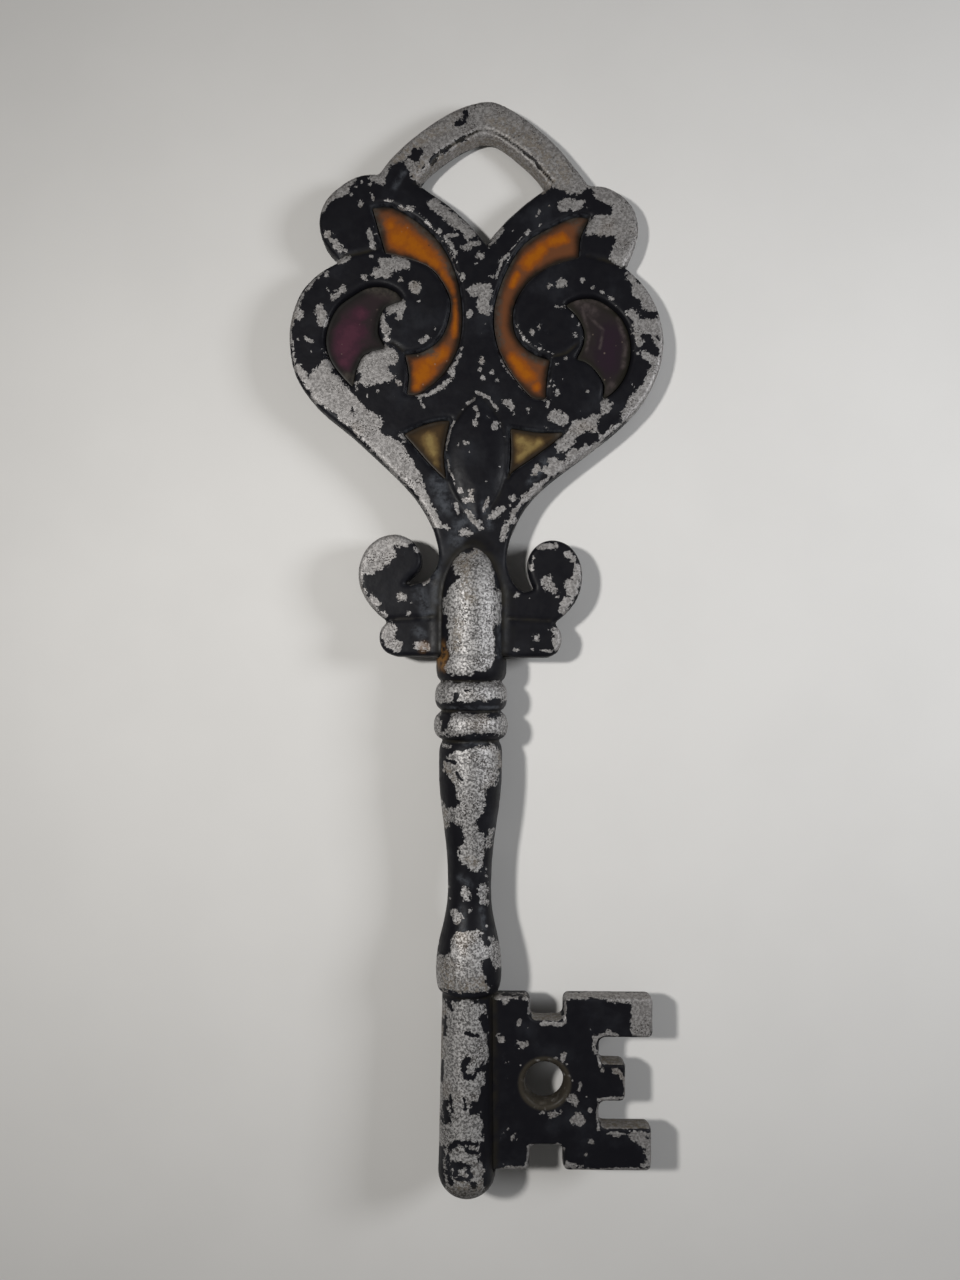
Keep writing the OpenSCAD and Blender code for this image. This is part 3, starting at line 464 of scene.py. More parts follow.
class Skin:
    """The vertices of a piece as arrays, for sculpting and for painting attributes."""

    def __init__(self, piece: bpy.types.Object) -> None:
        """Reads the places, normals and edges of a piece's mesh, in millimetres.

        Args:
            piece: The piece.
        """
        self.piece = piece
        mesh = piece.data
        count = len(mesh.vertices)
        flat = np.empty(count * 3, np.float32)
        mesh.vertices.foreach_get("co", flat)
        self.places = flat.reshape(-1, 3).astype(float) / MM
        mesh.vertices.foreach_get("normal", flat)
        self.normals = flat.reshape(-1, 3).astype(float)
        pairs = np.empty(len(mesh.edges) * 2, np.int32)
        mesh.edges.foreach_get("vertices", pairs)
        self.pairs = pairs.reshape(-1, 2)
        self.valence = np.maximum(np.bincount(self.pairs.ravel(), minlength=count), 1)

    @property
    def x(self) -> np.ndarray:
        """First coordinates, in millimetres."""
        return self.places[:, 0]

    @property
    def y(self) -> np.ndarray:
        """Second coordinates, in millimetres."""
        return self.places[:, 1]

    @property
    def face(self) -> np.ndarray:
        """1 on the flat faces of a plate and 0 on its walls."""
        return smoothstep(np.abs(self.normals[:, 2]), 0.6, 0.9)

    def full(self, value: float) -> np.ndarray:
        """The same value for each vertex."""
        return np.full(len(self.places), value)

    def around(self, values: np.ndarray) -> np.ndarray:
        """The mean of each vertex's neighbours.

        Args:
            values: One value for each vertex.

        Returns:
            The mean for each vertex.
        """
        first, second = self.pairs.T
        count = len(values)
        total = np.bincount(first, values[second], count) + np.bincount(second, values[first], count)
        return total / self.valence

    def soften(self, values: np.ndarray, passes: int) -> np.ndarray:
        """Smooths values over the surface.

        Args:
            values: One value for each vertex.
            passes: How many times they are smoothed.

        Returns:
            The smoothed values.
        """
        for _ in range(passes):
            values = (values + self.around(values)) / 2
        return values

    def convexity(self, spacing: float, gain: float = 9.0) -> np.ndarray:
        """How sharply the surface bulges, negative in a corner.

        Args:
            spacing: Distance between vertices, in millimetres.
            gain: Factor that brings a rounded edge to about 1.

        Returns:
            One value for each vertex.
        """
        lag = np.stack([axis - self.around(axis) for axis in self.places.T], axis=1)
        return self.soften((lag * self.normals).sum(axis=1) / spacing * gain, 2)

    def gap_to(self, nodes: tuple[str, ...], reach: float) -> np.ndarray:
        """Distance from each vertex to the nearest of some CAD nodes.

        Args:
            nodes: Names of the nodes.
            reach: Greatest distance that is looked for, in millimetres.

        Returns:
            One distance for each vertex, in millimetres, no more than reach.
        """
        gaps = self.full(reach)
        for node in nodes:
            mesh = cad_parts[node].data
            corners = [vertex.co.copy() for vertex in mesh.vertices]
            tree = BVHTree.FromPolygons(corners, [tuple(face.vertices) for face in mesh.polygons])
            low, high = np.min(corners, axis=0) / MM, np.max(corners, axis=0) / MM
            near = np.all((self.places > low - reach) & (self.places < high + reach), axis=1)
            for index in np.flatnonzero(near):
                hit = tree.find_nearest(Vector(self.places[index] * MM), reach * MM)
                if hit[3] is not None:
                    gaps[index] = min(gaps[index], hit[3] / MM)
        return gaps

    def seen(self) -> Spots:
        """Where each vertex falls on the drawing plane, as the camera sees it."""
        share = (EYE[2] - DRAWING_Z) / (EYE[2] - self.places[:, 2])
        return (EYE[0] + (self.x - EYE[0]) * share, EYE[1] + (self.y - EYE[1]) * share)

    def turbulence(self, size: float) -> np.ndarray:
        """A vector of noise for each vertex, with whirls of that size in millimetres."""
        return np.array([noise.noise_vector(place) for place in (self.places / size).tolist()])

    def move(self, amounts: np.ndarray, node: str) -> None:
        """Moves the vertices along their normals, but not out of a CAD node's box.

        Args:
            amounts: How far each vertex moves, in millimetres.
            node: Name of the CAD node.
        """
        low, high = (np.array(corner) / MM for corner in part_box(node))
        self.places = np.clip(self.places + self.normals * amounts[:, None], low, high)
        self.piece.data.vertices.foreach_set("co", (self.places * MM).astype(np.float32).ravel())
        self.piece.data.update()

    def paint(self, name: str, values: np.ndarray) -> None:
        """Stores values as a named attribute that the materials read."""
        attribute = self.piece.data.attributes.new(name, "FLOAT", "POINT")
        attribute.data.foreach_set("value", values.astype(np.float32))


class Board:
    """A node tree with a short method for each kind of node that the finishes use."""

    def __init__(self, tree: bpy.types.NodeTree) -> None:
        """Keeps the tree that the nodes go into."""
        self.tree = tree

    def add(self, kind: str, feeds: Feeds | None = None, **settings: object) -> bpy.types.Node:
        """Adds a node.

        Args:
            kind: Blender's name for the kind of node.
            feeds: What goes into its inputs, by their numbers or names.
            settings: Its properties.

        Returns:
            The node.
        """
        node = self.tree.nodes.new(kind)
        for name, value in settings.items():
            setattr(node, name, value)
        for socket, value in (feeds or {}).items():
            self.feed(node.inputs[socket], value)
        return node

    def feed(self, socket: Socket, value: object) -> None:
        """Links an output to an input, or sets the input to a plain value.

        Args:
            socket: The input.
            value: An output socket, a number, a vector or a colour.
        """
        if isinstance(value, Socket):
            self.tree.links.new(value, socket)
        elif isinstance(value, tuple) and len(value) == 3 and socket.type == "RGBA":
            socket.default_value = (*value, 1.0)
        else:
            socket.default_value = value

    def math(self, operation: str, *values: object, clamp: bool = False) -> Socket:
        """The result of a Math node on these values."""
        feeds = dict(enumerate(values))
        return self.add("ShaderNodeMath", feeds, operation=operation, use_clamp=clamp).outputs[0]

    def times(self, first: object, second: object) -> Socket:
        """The product of two values."""
        return self.math("MULTIPLY", first, second)

    def plus(self, first: object, second: object) -> Socket:
        """The sum of two values."""
        return self.math("ADD", first, second)

    def rest(self, value: object) -> Socket:
        """What a value leaves of 1."""
        return self.math("SUBTRACT", 1.0, value, clamp=True)

    def centred(self, value: object, width: float) -> Socket:
        """A value between 0 and 1, spread over that width with 0 in its middle."""
        return self.math("MULTIPLY_ADD", value, width, -width / 2)

    def noise(self, vector: object, size: float, detail: float = 3.0, rough: float = 0.55) -> Socket:
        """Noise between 0 and 1 with features of that size in millimetres, and finer layers."""
        feeds = {"Vector": vector, "Scale": 1.0 / (size * MM), "Detail": detail, "Roughness": rough}
        return self.add("ShaderNodeTexNoise", feeds).outputs[0]

    def cells(self, vector: object, size: float) -> tuple[Socket, Socket]:
        """Irregular cells.

        Args:
            vector: Where they are read.
            size: Size of the cells, in millimetres.

        Returns:
            A chance value for each cell, and the distance from its middle.
        """
        cell = self.add("ShaderNodeTexVoronoi", {"Vector": vector, "Scale": 1.0 / (size * MM)})
        split = self.add("ShaderNodeSeparateColor", {0: cell.outputs["Color"]})
        return split.outputs[0], cell.outputs["Distance"]

    def span(self, value: object, low: object, high: object, start: float = 0.0, end: float = 1.0) -> Socket:
        """A value taken smoothly from start at low to end at high."""
        feeds = dict(enumerate((value, low, high, start, end)))
        return self.add("ShaderNodeMapRange", feeds, interpolation_type="SMOOTHSTEP").outputs[0]

    def patches(self, mark: str, clouds: object, low: float, high: float, *ends: float) -> Socket:
        """A mark painted on the mesh, broken up by the span of some noise."""
        return self.times(self.attribute(mark), self.span(clouds, low, high, *ends))

    def blend(self, factor: object, first: object, second: object) -> Socket:
        """Two colours mixed; the factor is the second one's share."""
        return self.add("ShaderNodeMix", {0: factor, 6: first, 7: second}, data_type="RGBA").outputs[2]

    def between(self, factor: object, first: object, second: object) -> Socket:
        """Two numbers mixed; the factor is the second one's share."""
        return self.add("ShaderNodeMix", {0: factor, 2: first, 3: second}).outputs[0]

    def attribute(self, name: str) -> Socket:
        """A number painted on the mesh."""
        return self.add("ShaderNodeAttribute", attribute_name=name).outputs["Fac"]

    def group(self, tree: bpy.types.NodeTree, **values: object) -> bpy.types.NodeOutputs:
        """The outputs of a node group that gets these inputs, by their names in small letters."""
        feeds = {name.title(): value for name, value in values.items()}
        return self.add("ShaderNodeGroup", feeds, node_tree=tree).outputs

    def bump(self, height: object) -> Socket:
        """The normal of a surface that is raised by that height, in millimetres."""
        return self.add("ShaderNodeBump", {"Distance": MM, "Height": height}).outputs["Normal"]


class Effect:
    """The shader node groups that are built once and shared by several finishes."""

    made: dict[str, bpy.types.NodeTree] = {}

    @classmethod
    def tree(cls, name: str, inputs: dict[str, str], outputs: dict[str, str]) -> Board:
        """Makes a node group and remembers it.

        Args:
            name: Its name.
            inputs: Kind of socket for each named input.
            outputs: Kind of socket for each named output.

        Returns:
            A board on the new group.
        """
        tree = bpy.data.node_groups.new(name, "ShaderNodeTree")
        for way, sockets in (("INPUT", inputs), ("OUTPUT", outputs)):
            for socket, kind in sockets.items():
                tree.interface.new_socket(name=socket, in_out=way, socket_type="NodeSocket" + kind)
        cls.made[name] = tree
        return Board(tree)

    @classmethod
    def flaking(cls) -> bpy.types.NodeTree:
        """Turns the painted wear into ragged bare places, with worn edges and small chips.

        Returns:
            The node group.
        """
        if "Flaking" in cls.made:
            return cls.made["Flaking"]
        board = cls.tree("Flaking", {"Vector": "Vector", "Wear": "Float", "Bulge": "Float"},
                         {"Bare": "Float", "Depth": "Float"})
        source = board.add("NodeGroupInput").outputs
        sink = board.add("NodeGroupOutput").inputs
        vector = source["Vector"]
        shift = board.add("ShaderNodeTexNoise", {"Vector": vector, "Scale": 1.0 / (1.7 * MM)})
        feeds = {0: shift.outputs["Color"], 1: (1.3 * MM,) * 3, 2: vector}
        bent = board.add("ShaderNodeVectorMath", feeds, operation="MULTIPLY_ADD").outputs[0]
        ragged = board.centred(board.noise(vector, 3.4, 6.0, 0.62), 1.6)
        flakes = board.centred(board.cells(bent, 1.1)[0], 0.90)
        crumbs = board.centred(board.cells(bent, 0.60)[0], 0.50)
        patchy = board.math("MULTIPLY_ADD", board.noise(vector, 8.0), 5.0, -3.95)
        rubbed = board.plus(board.times(source["Bulge"], 0.9), patchy)
        depth = board.math("MAXIMUM", source["Wear"], rubbed)
        depth = board.plus(depth, board.plus(ragged, board.plus(flakes, crumbs)))
        board.feed(sink["Bare"], board.span(depth, -0.06, 0.06))
        board.feed(sink["Depth"], depth)
        return cls.made["Flaking"]

    @classmethod
    def grain(cls) -> bpy.types.NodeTree:
        """The granular look of cast metal: its colour, roughness and the height of its grain.

        Returns:
            The node group.
        """
        if "Grain" in cls.made:
            return cls.made["Grain"]
        board = cls.tree("Grain", {"Vector": "Vector", "Metal": "Color", "Dark": "Color", "Pitting": "Float"},
                         {"Color": "Color", "Height": "Float", "Roughness": "Float"})
        source = board.add("NodeGroupInput").outputs
        sink = board.add("NodeGroupOutput").inputs
        vector = source["Vector"]
        pore, dull = (0.045, 0.04, 0.038), (0.28, 0.23, 0.18)
        coarse = board.noise(vector, 0.75, 3.0, 0.7)
        pores = board.noise(vector, 0.45, 2.0, 0.5)
        colour = board.blend(board.span(coarse, 0.38, 0.62), source["Dark"], source["Metal"])
        crowded = board.span(board.noise(vector, 7.0), 0.42, 0.62, 0.73, 0.58)
        crowded = board.math("SUBTRACT", crowded, source["Pitting"])
        colour = board.blend(board.span(pores, crowded, board.plus(crowded, 0.05)), colour, pore)
        colour = board.blend(board.span(board.noise(vector, 14.0), 0.55, 0.78, 0.0, 0.30), colour, dull)
        board.feed(sink["Color"], colour)
        board.feed(sink["Height"], board.plus(board.times(coarse, 0.10), board.times(pores, -0.07)))
        board.feed(sink["Roughness"], board.span(pores, 0.3, 0.7, 0.50, 0.68))
        return cls.made["Grain"]


@dataclass(frozen=True)
class Finish:
    """A finish, with one node material that is made when it is first needed.

    Args:
        name: Name of the material.
        slot: Its material slot; not used.
    """

    name: str
    slot: Slot

    def material(self) -> bpy.types.Material:
        """Makes the material, or finds it where it is made already.

        Returns:
            The material.
        """
        material = bpy.data.materials.get(self.name)
        if material is None:
            material = bpy.data.materials.new(self.name)
            material.use_nodes = True
            board = Board(material.node_tree)
            place = board.add("ShaderNodeTexCoord").outputs["Object"]
            self.lay(board, place, material.node_tree.nodes["Principled BSDF"].inputs)
        return material

    def lay(self, board: Board, place: Socket, shader: bpy.types.NodeInputs) -> None:
        """Lays the finish on the shader; each kind of finish has its own way."""
        raise NotImplementedError


@dataclass(frozen=True)
class CastFinish(Finish):
    """Blue-black paint that flakes off granular cast metal.

    Args:
        paint: Colour of the paint.
        pale_paint_and_edge_sheen: Colour of the paint where it is rubbed pale, and of the painted highlight
            along the edges of the bare places.
        pale_dust_and_sheen: Colour of the dusting in its hollows and of the painted highlights on its ridges.
        metal: Colour of the bare metal's bright grains.
        shade: Colour of its dark grains.
        pitting: How crowded its pores are.
        rust: Colour of loose rust.
        old_rust: Colour of firm rust.
        tarnish: Colour of the metal where it is rubbed brown.
        stained: Tint of the metal where it is stained.
        corner_shade: Colour of the painted shade in its corners, creases and joints.
    """

    paint: Colour = (0.0064, 0.0063, 0.0084)
    pale_paint_and_edge_sheen: Colour = (0.018, 0.019, 0.023)
    pale_dust_and_sheen: Colour = (0.060, 0.065, 0.075)
    metal: Colour = (0.485, 0.474, 0.468)
    shade: Colour = (0.115, 0.111, 0.110)
    pitting: float = 0.04
    rust: Colour = (0.22, 0.115, 0.030)
    old_rust: Colour = (0.10, 0.045, 0.018)
    tarnish: Colour = (0.034, 0.029, 0.022)
    stained: Colour = (0.150, 0.125, 0.095)
    corner_shade: Colour = (0.016, 0.014, 0.010)

    def lay(self, board: Board, place: Socket, shader: bpy.types.NodeInputs) -> None:
        """Lays bare metal, paint, painted shade, stains and rust over each other.

        Args:
            board: Board of the material.
            place: Object coordinates.
            shader: Inputs of the shader.
        """
        flaking = board.group(Effect.flaking(), vector=place, wear=board.attribute("wear"),
                              bulge=board.attribute("bulge"))
        grain = board.group(Effect.grain(), vector=place, metal=self.metal, dark=self.shade,
                            pitting=self.pitting)
        bare = flaking["Bare"]
        colour = board.blend(bare, self.coat(board, place, flaking["Depth"]), grain["Color"])
        # Painted shade in corners, along the loop's crease and at the joints between pieces, broken up by
        # noise.
        hollow_shade = board.patches("corner_shade", board.noise(place, 5.0, 4.0), 0.25, 0.65)
        colour = board.blend(hollow_shade, colour, self.corner_shade)
        spots = board.span(board.noise(place, 1.3, 5.0, 0.75), 0.44, 0.58)
        stain = board.times(board.times(board.attribute("stain"), bare), spots)
        colour = board.blend(board.times(stain, 0.75), colour, self.stained)
        brown = board.patches("tarnish", board.noise(place, 3.0, 4.0), 0.2, 0.5, 0.7, 1.0)
        gleam = board.span(board.noise(place, 2.2, 4.0), 0.56, 0.85)
        colour = board.blend(brown, colour, board.blend(gleam, self.tarnish, grain["Color"]))
        rust = board.patches("rust", board.noise(place, 2.6, 4.0, 0.65), 0.36, 0.60)
        rusty = board.blend(board.noise(place, 1.2), self.old_rust, self.rust)
        board.feed(shader["Base Color"], board.blend(rust, colour, rusty))
        clean = board.rest(board.math("MAXIMUM", rust, hollow_shade))
        clean = board.times(clean, board.rest(board.times(brown, 0.8)))
        shine = board.times(clean, board.span(stain, 0.0, 1.0, 0.7, 0.3))
        board.feed(shader["Metallic"], board.times(bare, shine))
        smear = board.span(board.noise(place, 3.0), 0.3, 0.7, 0.38, 0.52)
        board.feed(shader["Roughness"], board.between(bare, smear, grain["Roughness"]))
        film = board.times(board.rest(bare), 0.10)
        brush = board.times(board.noise(place, 1.8, 2.0), 0.05)
        height = board.plus(film, board.plus(brush, board.times(grain["Height"], bare)))
        board.feed(shader["Normal"], board.bump(height))
        shader["Specular IOR Level"].default_value = 0.11

    def coat(self, board: Board, place: Socket, depth: Socket) -> Socket:
        """The paint: cloudy, with pale dusting, and with a painted highlight along the edges of the bare
        places.

        Args:
            board: Board of the material.
            place: Object coordinates.
            depth: Distance to the edge of the bare places, negative on the paint.

        Returns:
            Its colour.
        """
        cloudy = board.span(board.noise(place, 16.0, 5.0, 0.6), 0.48, 0.78)
        # Pale dusting on the paint; some strokes of it are painted highlights along ridges.
        pale_dust_and_sheen = board.patches("dust_and_sheen", board.noise(place, 3.0, 5.0, 0.7), 0.34, 0.70)
        paint = board.blend(pale_dust_and_sheen, board.blend(cloudy, self.paint, self.pale_paint_and_edge_sheen), self.pale_dust_and_sheen)
        # Painted highlight: the paint turns pale along the edges of the bare places.
        return board.blend(board.span(depth, -0.5, 0.0, 0.0, 0.35), paint, self.pale_paint_and_edge_sheen)


@dataclass(frozen=True)
class ResinFinish(Finish):
    """Poured resin with painted shade towards its walls and a painted glow where light gathers.

    Args:
        rim_shade: Colour of the painted shade along the walls.
        body: Colour away from the walls.
        glow: Colour where light gathers.
        core: Colour where it gathers most.
        cloud: Colour where the resin is cloudy.
        fleck: Colour of the small specks in it.
        rim_width: Width of the painted shade along the walls, in millimetres.
    """

    rim_shade: Colour
    body: Colour
    glow: Colour
    core: Colour
    cloud: Colour = (0.055, 0.048, 0.040)
    fleck: Colour = (0.28, 0.22, 0.17)
    rim_width: float = 2.4

    def lay(self, board: Board, place: Socket, shader: bpy.types.NodeInputs) -> None:
        """Lays painted shade along the walls, body, glow, cloud, bubbles and specks over each other.

        Args:
            board: Board of the material.
            place: Object coordinates.
            shader: Inputs of the shader.
        """
        depth = board.attribute("depth")
        swirl = board.centred(board.noise(place, 5.0, 4.0), 2.4)
        inside = board.span(board.plus(depth, swirl), 0.1, self.rim_width + 0.8)
        mottle = board.centred(board.noise(place, 3.6, 6.0, 0.68), 1.3)
        lit = board.plus(board.attribute("glow"), mottle)
        # Painted shade: the resin darkens towards its walls.
        colour = board.blend(inside, self.rim_shade, self.body)
        colour = board.blend(board.times(board.span(lit, 0.05, 0.65), inside), colour, self.glow)
        colour = board.blend(board.times(board.span(lit, 0.60, 1.05), inside), colour, self.core)
        cloud = board.patches("haze", board.noise(place, 2.0, 5.0, 0.65), 0.38, 0.64, 0.25, 0.9)
        colour = board.blend(cloud, colour, self.cloud)
        luck, middle = board.cells(place, 2.6)
        size = board.times(board.math("POWER", luck, 8.0), 0.13)
        bubble = board.span(board.math("SUBTRACT", size, middle), -0.02, 0.01)
        colour = board.blend(board.times(bubble, 0.7), colour, self.rim_shade)
        luck, middle = board.cells(place, 1.9)
        speck = board.times(board.span(luck, 0.90, 0.94, 0.0, 0.35), board.span(middle, 0.22, 0.10))
        board.feed(shader["Base Color"], board.blend(speck, colour, self.fleck))
        board.feed(shader["Roughness"], board.span(depth, 0.3, 1.6, 0.45, 0.20))
        waves = board.times(board.noise(place, 6.0, 2.0), 0.30)
        board.feed(shader["Normal"], board.bump(board.plus(board.times(bubble, 0.10), waves)))
        shader["IOR"].default_value = 1.48
        shader["Specular IOR Level"].default_value = 0.2
        board.feed(shader["Coat Weight"], board.span(depth, 0.8, 2.0, 0.0, 0.35))
        shader["Coat Roughness"].default_value = 0.10


AMBER = ResinFinish(
    "poured_amber", Slot.AMBER, rim_shade=(0.016, 0.012, 0.009), body=(0.122, 0.045, 0.019),
    glow=(0.222, 0.060, 0.007), core=(0.290, 0.084, 0.004))
VIOLET = ResinFinish(
    "poured_violet", Slot.VIOLET, rim_shade=(0.013, 0.0125, 0.0115), body=(0.025, 0.017, 0.019),
    glow=(0.042, 0.0165, 0.026), core=(0.062, 0.021, 0.034), rim_width=3.0)
DUSKY = ResinFinish(
    "poured_dusky_violet", Slot.VIOLET, rim_shade=(0.016, 0.0145, 0.011), body=(0.021, 0.0165, 0.017),
    glow=(0.019, 0.0125, 0.017), core=(0.021, 0.012, 0.019), cloud=(0.058, 0.046, 0.045))
YELLOW = ResinFinish(
    "poured_yellow", Slot.YELLOW, rim_shade=(0.020, 0.014, 0.009), body=(0.050, 0.031, 0.015),
    glow=(0.120, 0.077, 0.030), core=(0.205, 0.145, 0.054))


def hand_over(piece: bpy.types.Object, node: str, finish: Finish) -> None:
    """Shades and dresses a finished piece, and lets it stand for its CAD node.

    Args:
        piece: The piece.
        node: Name of the CAD node that it replaces.
        finish: Its finish.
    """
    activate(piece)
    bpy.ops.object.shade_smooth()
    piece.data.materials.append(finish.material())
    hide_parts(node)
    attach(piece, "root")
    log.info("%s: %d faces", piece.name, len(piece.data.polygons))


@dataclass(frozen=True)
class BackWear:
    """The wear of the back, which no photograph shows: patches where noise is strong.

    Args:
        size: Size of the patches, in millimetres.
        depth: How deep the noise makes them, in millimetres.
        ragged: How ragged their edges are.
        level: How much of that depth is taken off, so that most of the paint stays.
    """

    size: float = 15.0
    depth: float = 5.0
    ragged: float = 2.0
    level: float = 1.2


@dataclass
class Casting:
    """A cast piece that is sculpted on a fine copy of its CAD node.

    Args:
        node: CAD node that it replaces.
        voxel: Distance between the vertices of its skin, in millimetres.
        wear: Map of its bare metal.
        finish: Its paint and metal.
        neighbours: CAD nodes that it is brazed to.
        dent: Depth of the uneven casting skin, in millimetres.
        dents: Size of the skin's dents in millimetres, and their share of that depth.
        stir: Size and strength of the whirls that make drawn edges ragged, in millimetres.
        back: Wear of its back.
        piece: The finished piece.
    """

    node: str
    voxel: float
    wear: WearMap
    finish: CastFinish
    neighbours: tuple[str, ...]
    dent: float = 0.18
    dents: tuple[tuple[float, float], ...] = ((11.0, 1.0), (3.2, 0.45))
    stir: tuple[tuple[float, float], ...] = ((4.5, 0.35), (1.8, 0.40))
    back: BackWear = BackWear()
    piece: bpy.types.Object = field(default=None, init=False)

    def build(self) -> None:
        """Makes the fine skin with its softened edges and uneven faces."""
        self.piece = fine_skin(self.node, "worn_" + self.node, self.voxel, 3)
        for size, share in self.dents:
            clouds = bpy.data.textures.new(f"casting_skin_{self.node}_{size:g}", "CLOUDS")
            clouds.noise_scale = size * MM
            clouds.noise_depth = 2
            apply_modifier(self.piece, "DISPLACE", texture=clouds, texture_coords="LOCAL",
                           strength=self.dent * share * MM, mid_level=0.5)

    def relief(self, skin: Skin) -> np.ndarray:
        """Height of the piece's own relief at each vertex, in millimetres."""
        return skin.full(0.0)

    def fillet(self, skin: Skin, gap: np.ndarray) -> np.ndarray:
        """Height of the brazing metal that runs up to a neighbour, in millimetres."""
        return skin.full(0.0)

    def marks(self, skin: Skin) -> dict[str, np.ndarray]:
        """The piece's own rust, brown, painted shade, pale dusting and bare walls; a plain casting has none.
        """
        return {}

    def sculpt(self) -> None:
        """Adds the relief, paints the wear and gives the piece its finish."""
        skin = Skin(self.piece)
        gap = skin.gap_to(self.neighbours, NEAR)
        skin.move(self.relief(skin) + self.fillet(skin, gap), self.node)
        self.paint(Skin(self.piece), gap)
        hand_over(self.piece, self.node, self.finish)

    def paint(self, skin: Skin, gap: np.ndarray) -> None:
        """Paints the wear, bulge, painted shade, pale dusting with painted highlights, stain, rust and
        tarnish that the finish reads.

        Args:
            skin: The vertices of the piece.
            gap: Distance of each vertex from the piece's neighbours, in millimetres.
        """
        bulge = skin.convexity(self.voxel)
        behind = smoothstep(-skin.normals[:, 2], 0.15, 0.5)
        stir = sum(skin.turbulence(size) * strength for size, strength in self.stir)
        spots = tuple(axis + whirl for axis, whirl in zip(skin.seen(), stir.T))
        marks = self.marks(skin)
        front = self.wear.field(spots)
        front = np.maximum(front, marks.get("bare", front))
        back = self.back.depth * skin.turbulence(self.back.size)[:, 2]
        back = back + self.back.ragged * stir[:, 2] - self.back.level
        skin.paint("wear", front * (1 - behind) + back * behind)
        skin.paint("bulge", np.clip(bulge, 0.0, 2.0) * (0.30 + 0.70 * behind))
        clean = skin.full(0.0)
        # Painted shade: concave places, the loop's crease and the joints to neighbouring pieces are darkened.
        hollow = np.maximum(np.clip(-bulge * 1.2, 0.0, 1.0), marks.get("hollow_shade", clean))
        skin.paint("corner_shade", np.maximum(hollow, 0.8 * (1 - smoothstep(gap, 0.4, 2.4))))
        # Soft strokes of pale dusting with painted highlights, and of brown stain, from the wear map.
        for name, drawn in (("dust_and_sheen", self.wear.dust_and_sheen), ("stain", self.wear.stain)):
            soft = cover(drawn, spots, -0.4, 0.9) * (1 - behind)
            skin.paint(name, np.maximum(soft, marks.get(name, clean)))
        for name in ("rust", "tarnish"):
            skin.paint(name, marks.get(name, clean))


@dataclass
class Bow(Casting):
    """The openwork bow, with the grooves between its scrolls and the braze along the shank.

    Args:
        groove_depth: Depth of the grooves and the crease, in millimetres.
        braze: Height of the braze, in millimetres.
        braze_reach: How far the braze runs out from the shank, in millimetres.
        grooves: Where one scroll tucks under the next.
        crease: Where the loop's ledge meets its band.
        rust_at: Middle of the rust stain on its left foot.
        cells: The panes whose walls are dull with resin.
        resin_reach: How far from a pane its walls are dull, in millimetres.
    """

    groove_depth: float = 0.4
    braze: float = 1.1
    braze_reach: float = 3.9
    grooves: tuple[Stroke, ...] = strokes(
        (0.8, -44.5, 123.4, -38, 124.8, -31, 126.6), (0.8, 48, 121, 42, 123, 36, 124.6),
        (0.7, -23, 92.4, -26.6, 95, -30, 96), (0.7, 25, 91.4, 29, 92.4, 33, 95.6),
    )
    crease: tuple[Stroke, ...] = strokes(
        (0.5, -15, 154.6, -13, 157.5, -10, 160, -5, 163, 0, 165.7, 2.4, 166, 4.6, 165.4, 8, 163.8,
         12, 161.2, 16, 158, 19, 155.2, 22, 151.8, 24.6, 148.6),
    )
    rust_at: Point = (-16.0, -3.2)
    cells: tuple[str, ...] = ("amber_pane_left", "amber_pane_right", "yellow_pane_left", "yellow_pane_right")
    resin_reach: float = 2.6

    def relief(self, skin: Skin) -> np.ndarray:
        """Shallow grooves on both faces.

        Args:
            skin: The vertices of the bow.

        Returns:
            Height at each vertex, in millimetres.
        """
        cut = skin.full(0.0)
        for groove in self.grooves + self.crease:
            cut = np.maximum(cut, smoothstep(groove.reach((skin.x, skin.y)), -0.6, groove.half))
        return -self.groove_depth * cut * skin.face

    def fillet(self, skin: Skin, gap: np.ndarray) -> np.ndarray:
        """A soft braze along the cheeks of the barrel."""
        return self.braze * np.clip(1 - gap / self.braze_reach, 0.0, 1.0) ** 2 * skin.face

    def marks(self, skin: Skin) -> dict[str, np.ndarray]:
        """Rust on the left foot, painted shade along the loop's crease and dull resin on the cells' walls.

        Args:
            skin: The vertices of the bow.

        Returns:
            Values from 0 to 1 by the name of the mark.
        """
        x, y = skin.seen()
        away = np.hypot(x - self.rust_at[0], y - self.rust_at[1])
        near = skin.gap_to(self.cells, self.resin_reach)
        wall = 1 - smoothstep(np.abs(skin.normals[:, 2]), 0.4, 0.9)
        return {
            "rust": 0.5 * (1 - smoothstep(away, 0.8, 2.8)),
            # Painted shade along the loop's crease.
            "hollow_shade": smoothstep(self.crease[0].reach((x, y)), -0.3, 0.4),
            "dust_and_sheen": 0.85 * (1 - smoothstep(near, 1.2, self.resin_reach)) * wall,
        }


@dataclass
class Shank(Casting):
    """The turned shank, with rust at the foot of its slot.

    Args:
        rust_at: Middle of the rust stain.
        rust_size: Half the stain's width and height, in millimetres.
        dull_end: Where the pin's end turns dull, along Y, in millimetres.
    """

    rust_at: Point = (-10.0, -6.2)
    rust_size: Point = (2.2, 5.4)
    dull_end: float = -170.5

    def marks(self, skin: Skin) -> dict[str, np.ndarray]:
        """A rust stain at the left end of the slot and a dull end to the pin.

        Args:
            skin: The vertices of the shank.

        Returns:
            Values from 0 to 1 by the name of the mark.
        """
        x, y = skin.seen()
        away = np.hypot((x - self.rust_at[0]) / self.rust_size[0], (y - self.rust_at[1]) / self.rust_size[1])
        return {
            "rust": 1 - smoothstep(away, 0.35, 1.25),
            "tarnish": 0.55 * smoothstep(self.dull_end - y, 0.0, 3.0),
        }


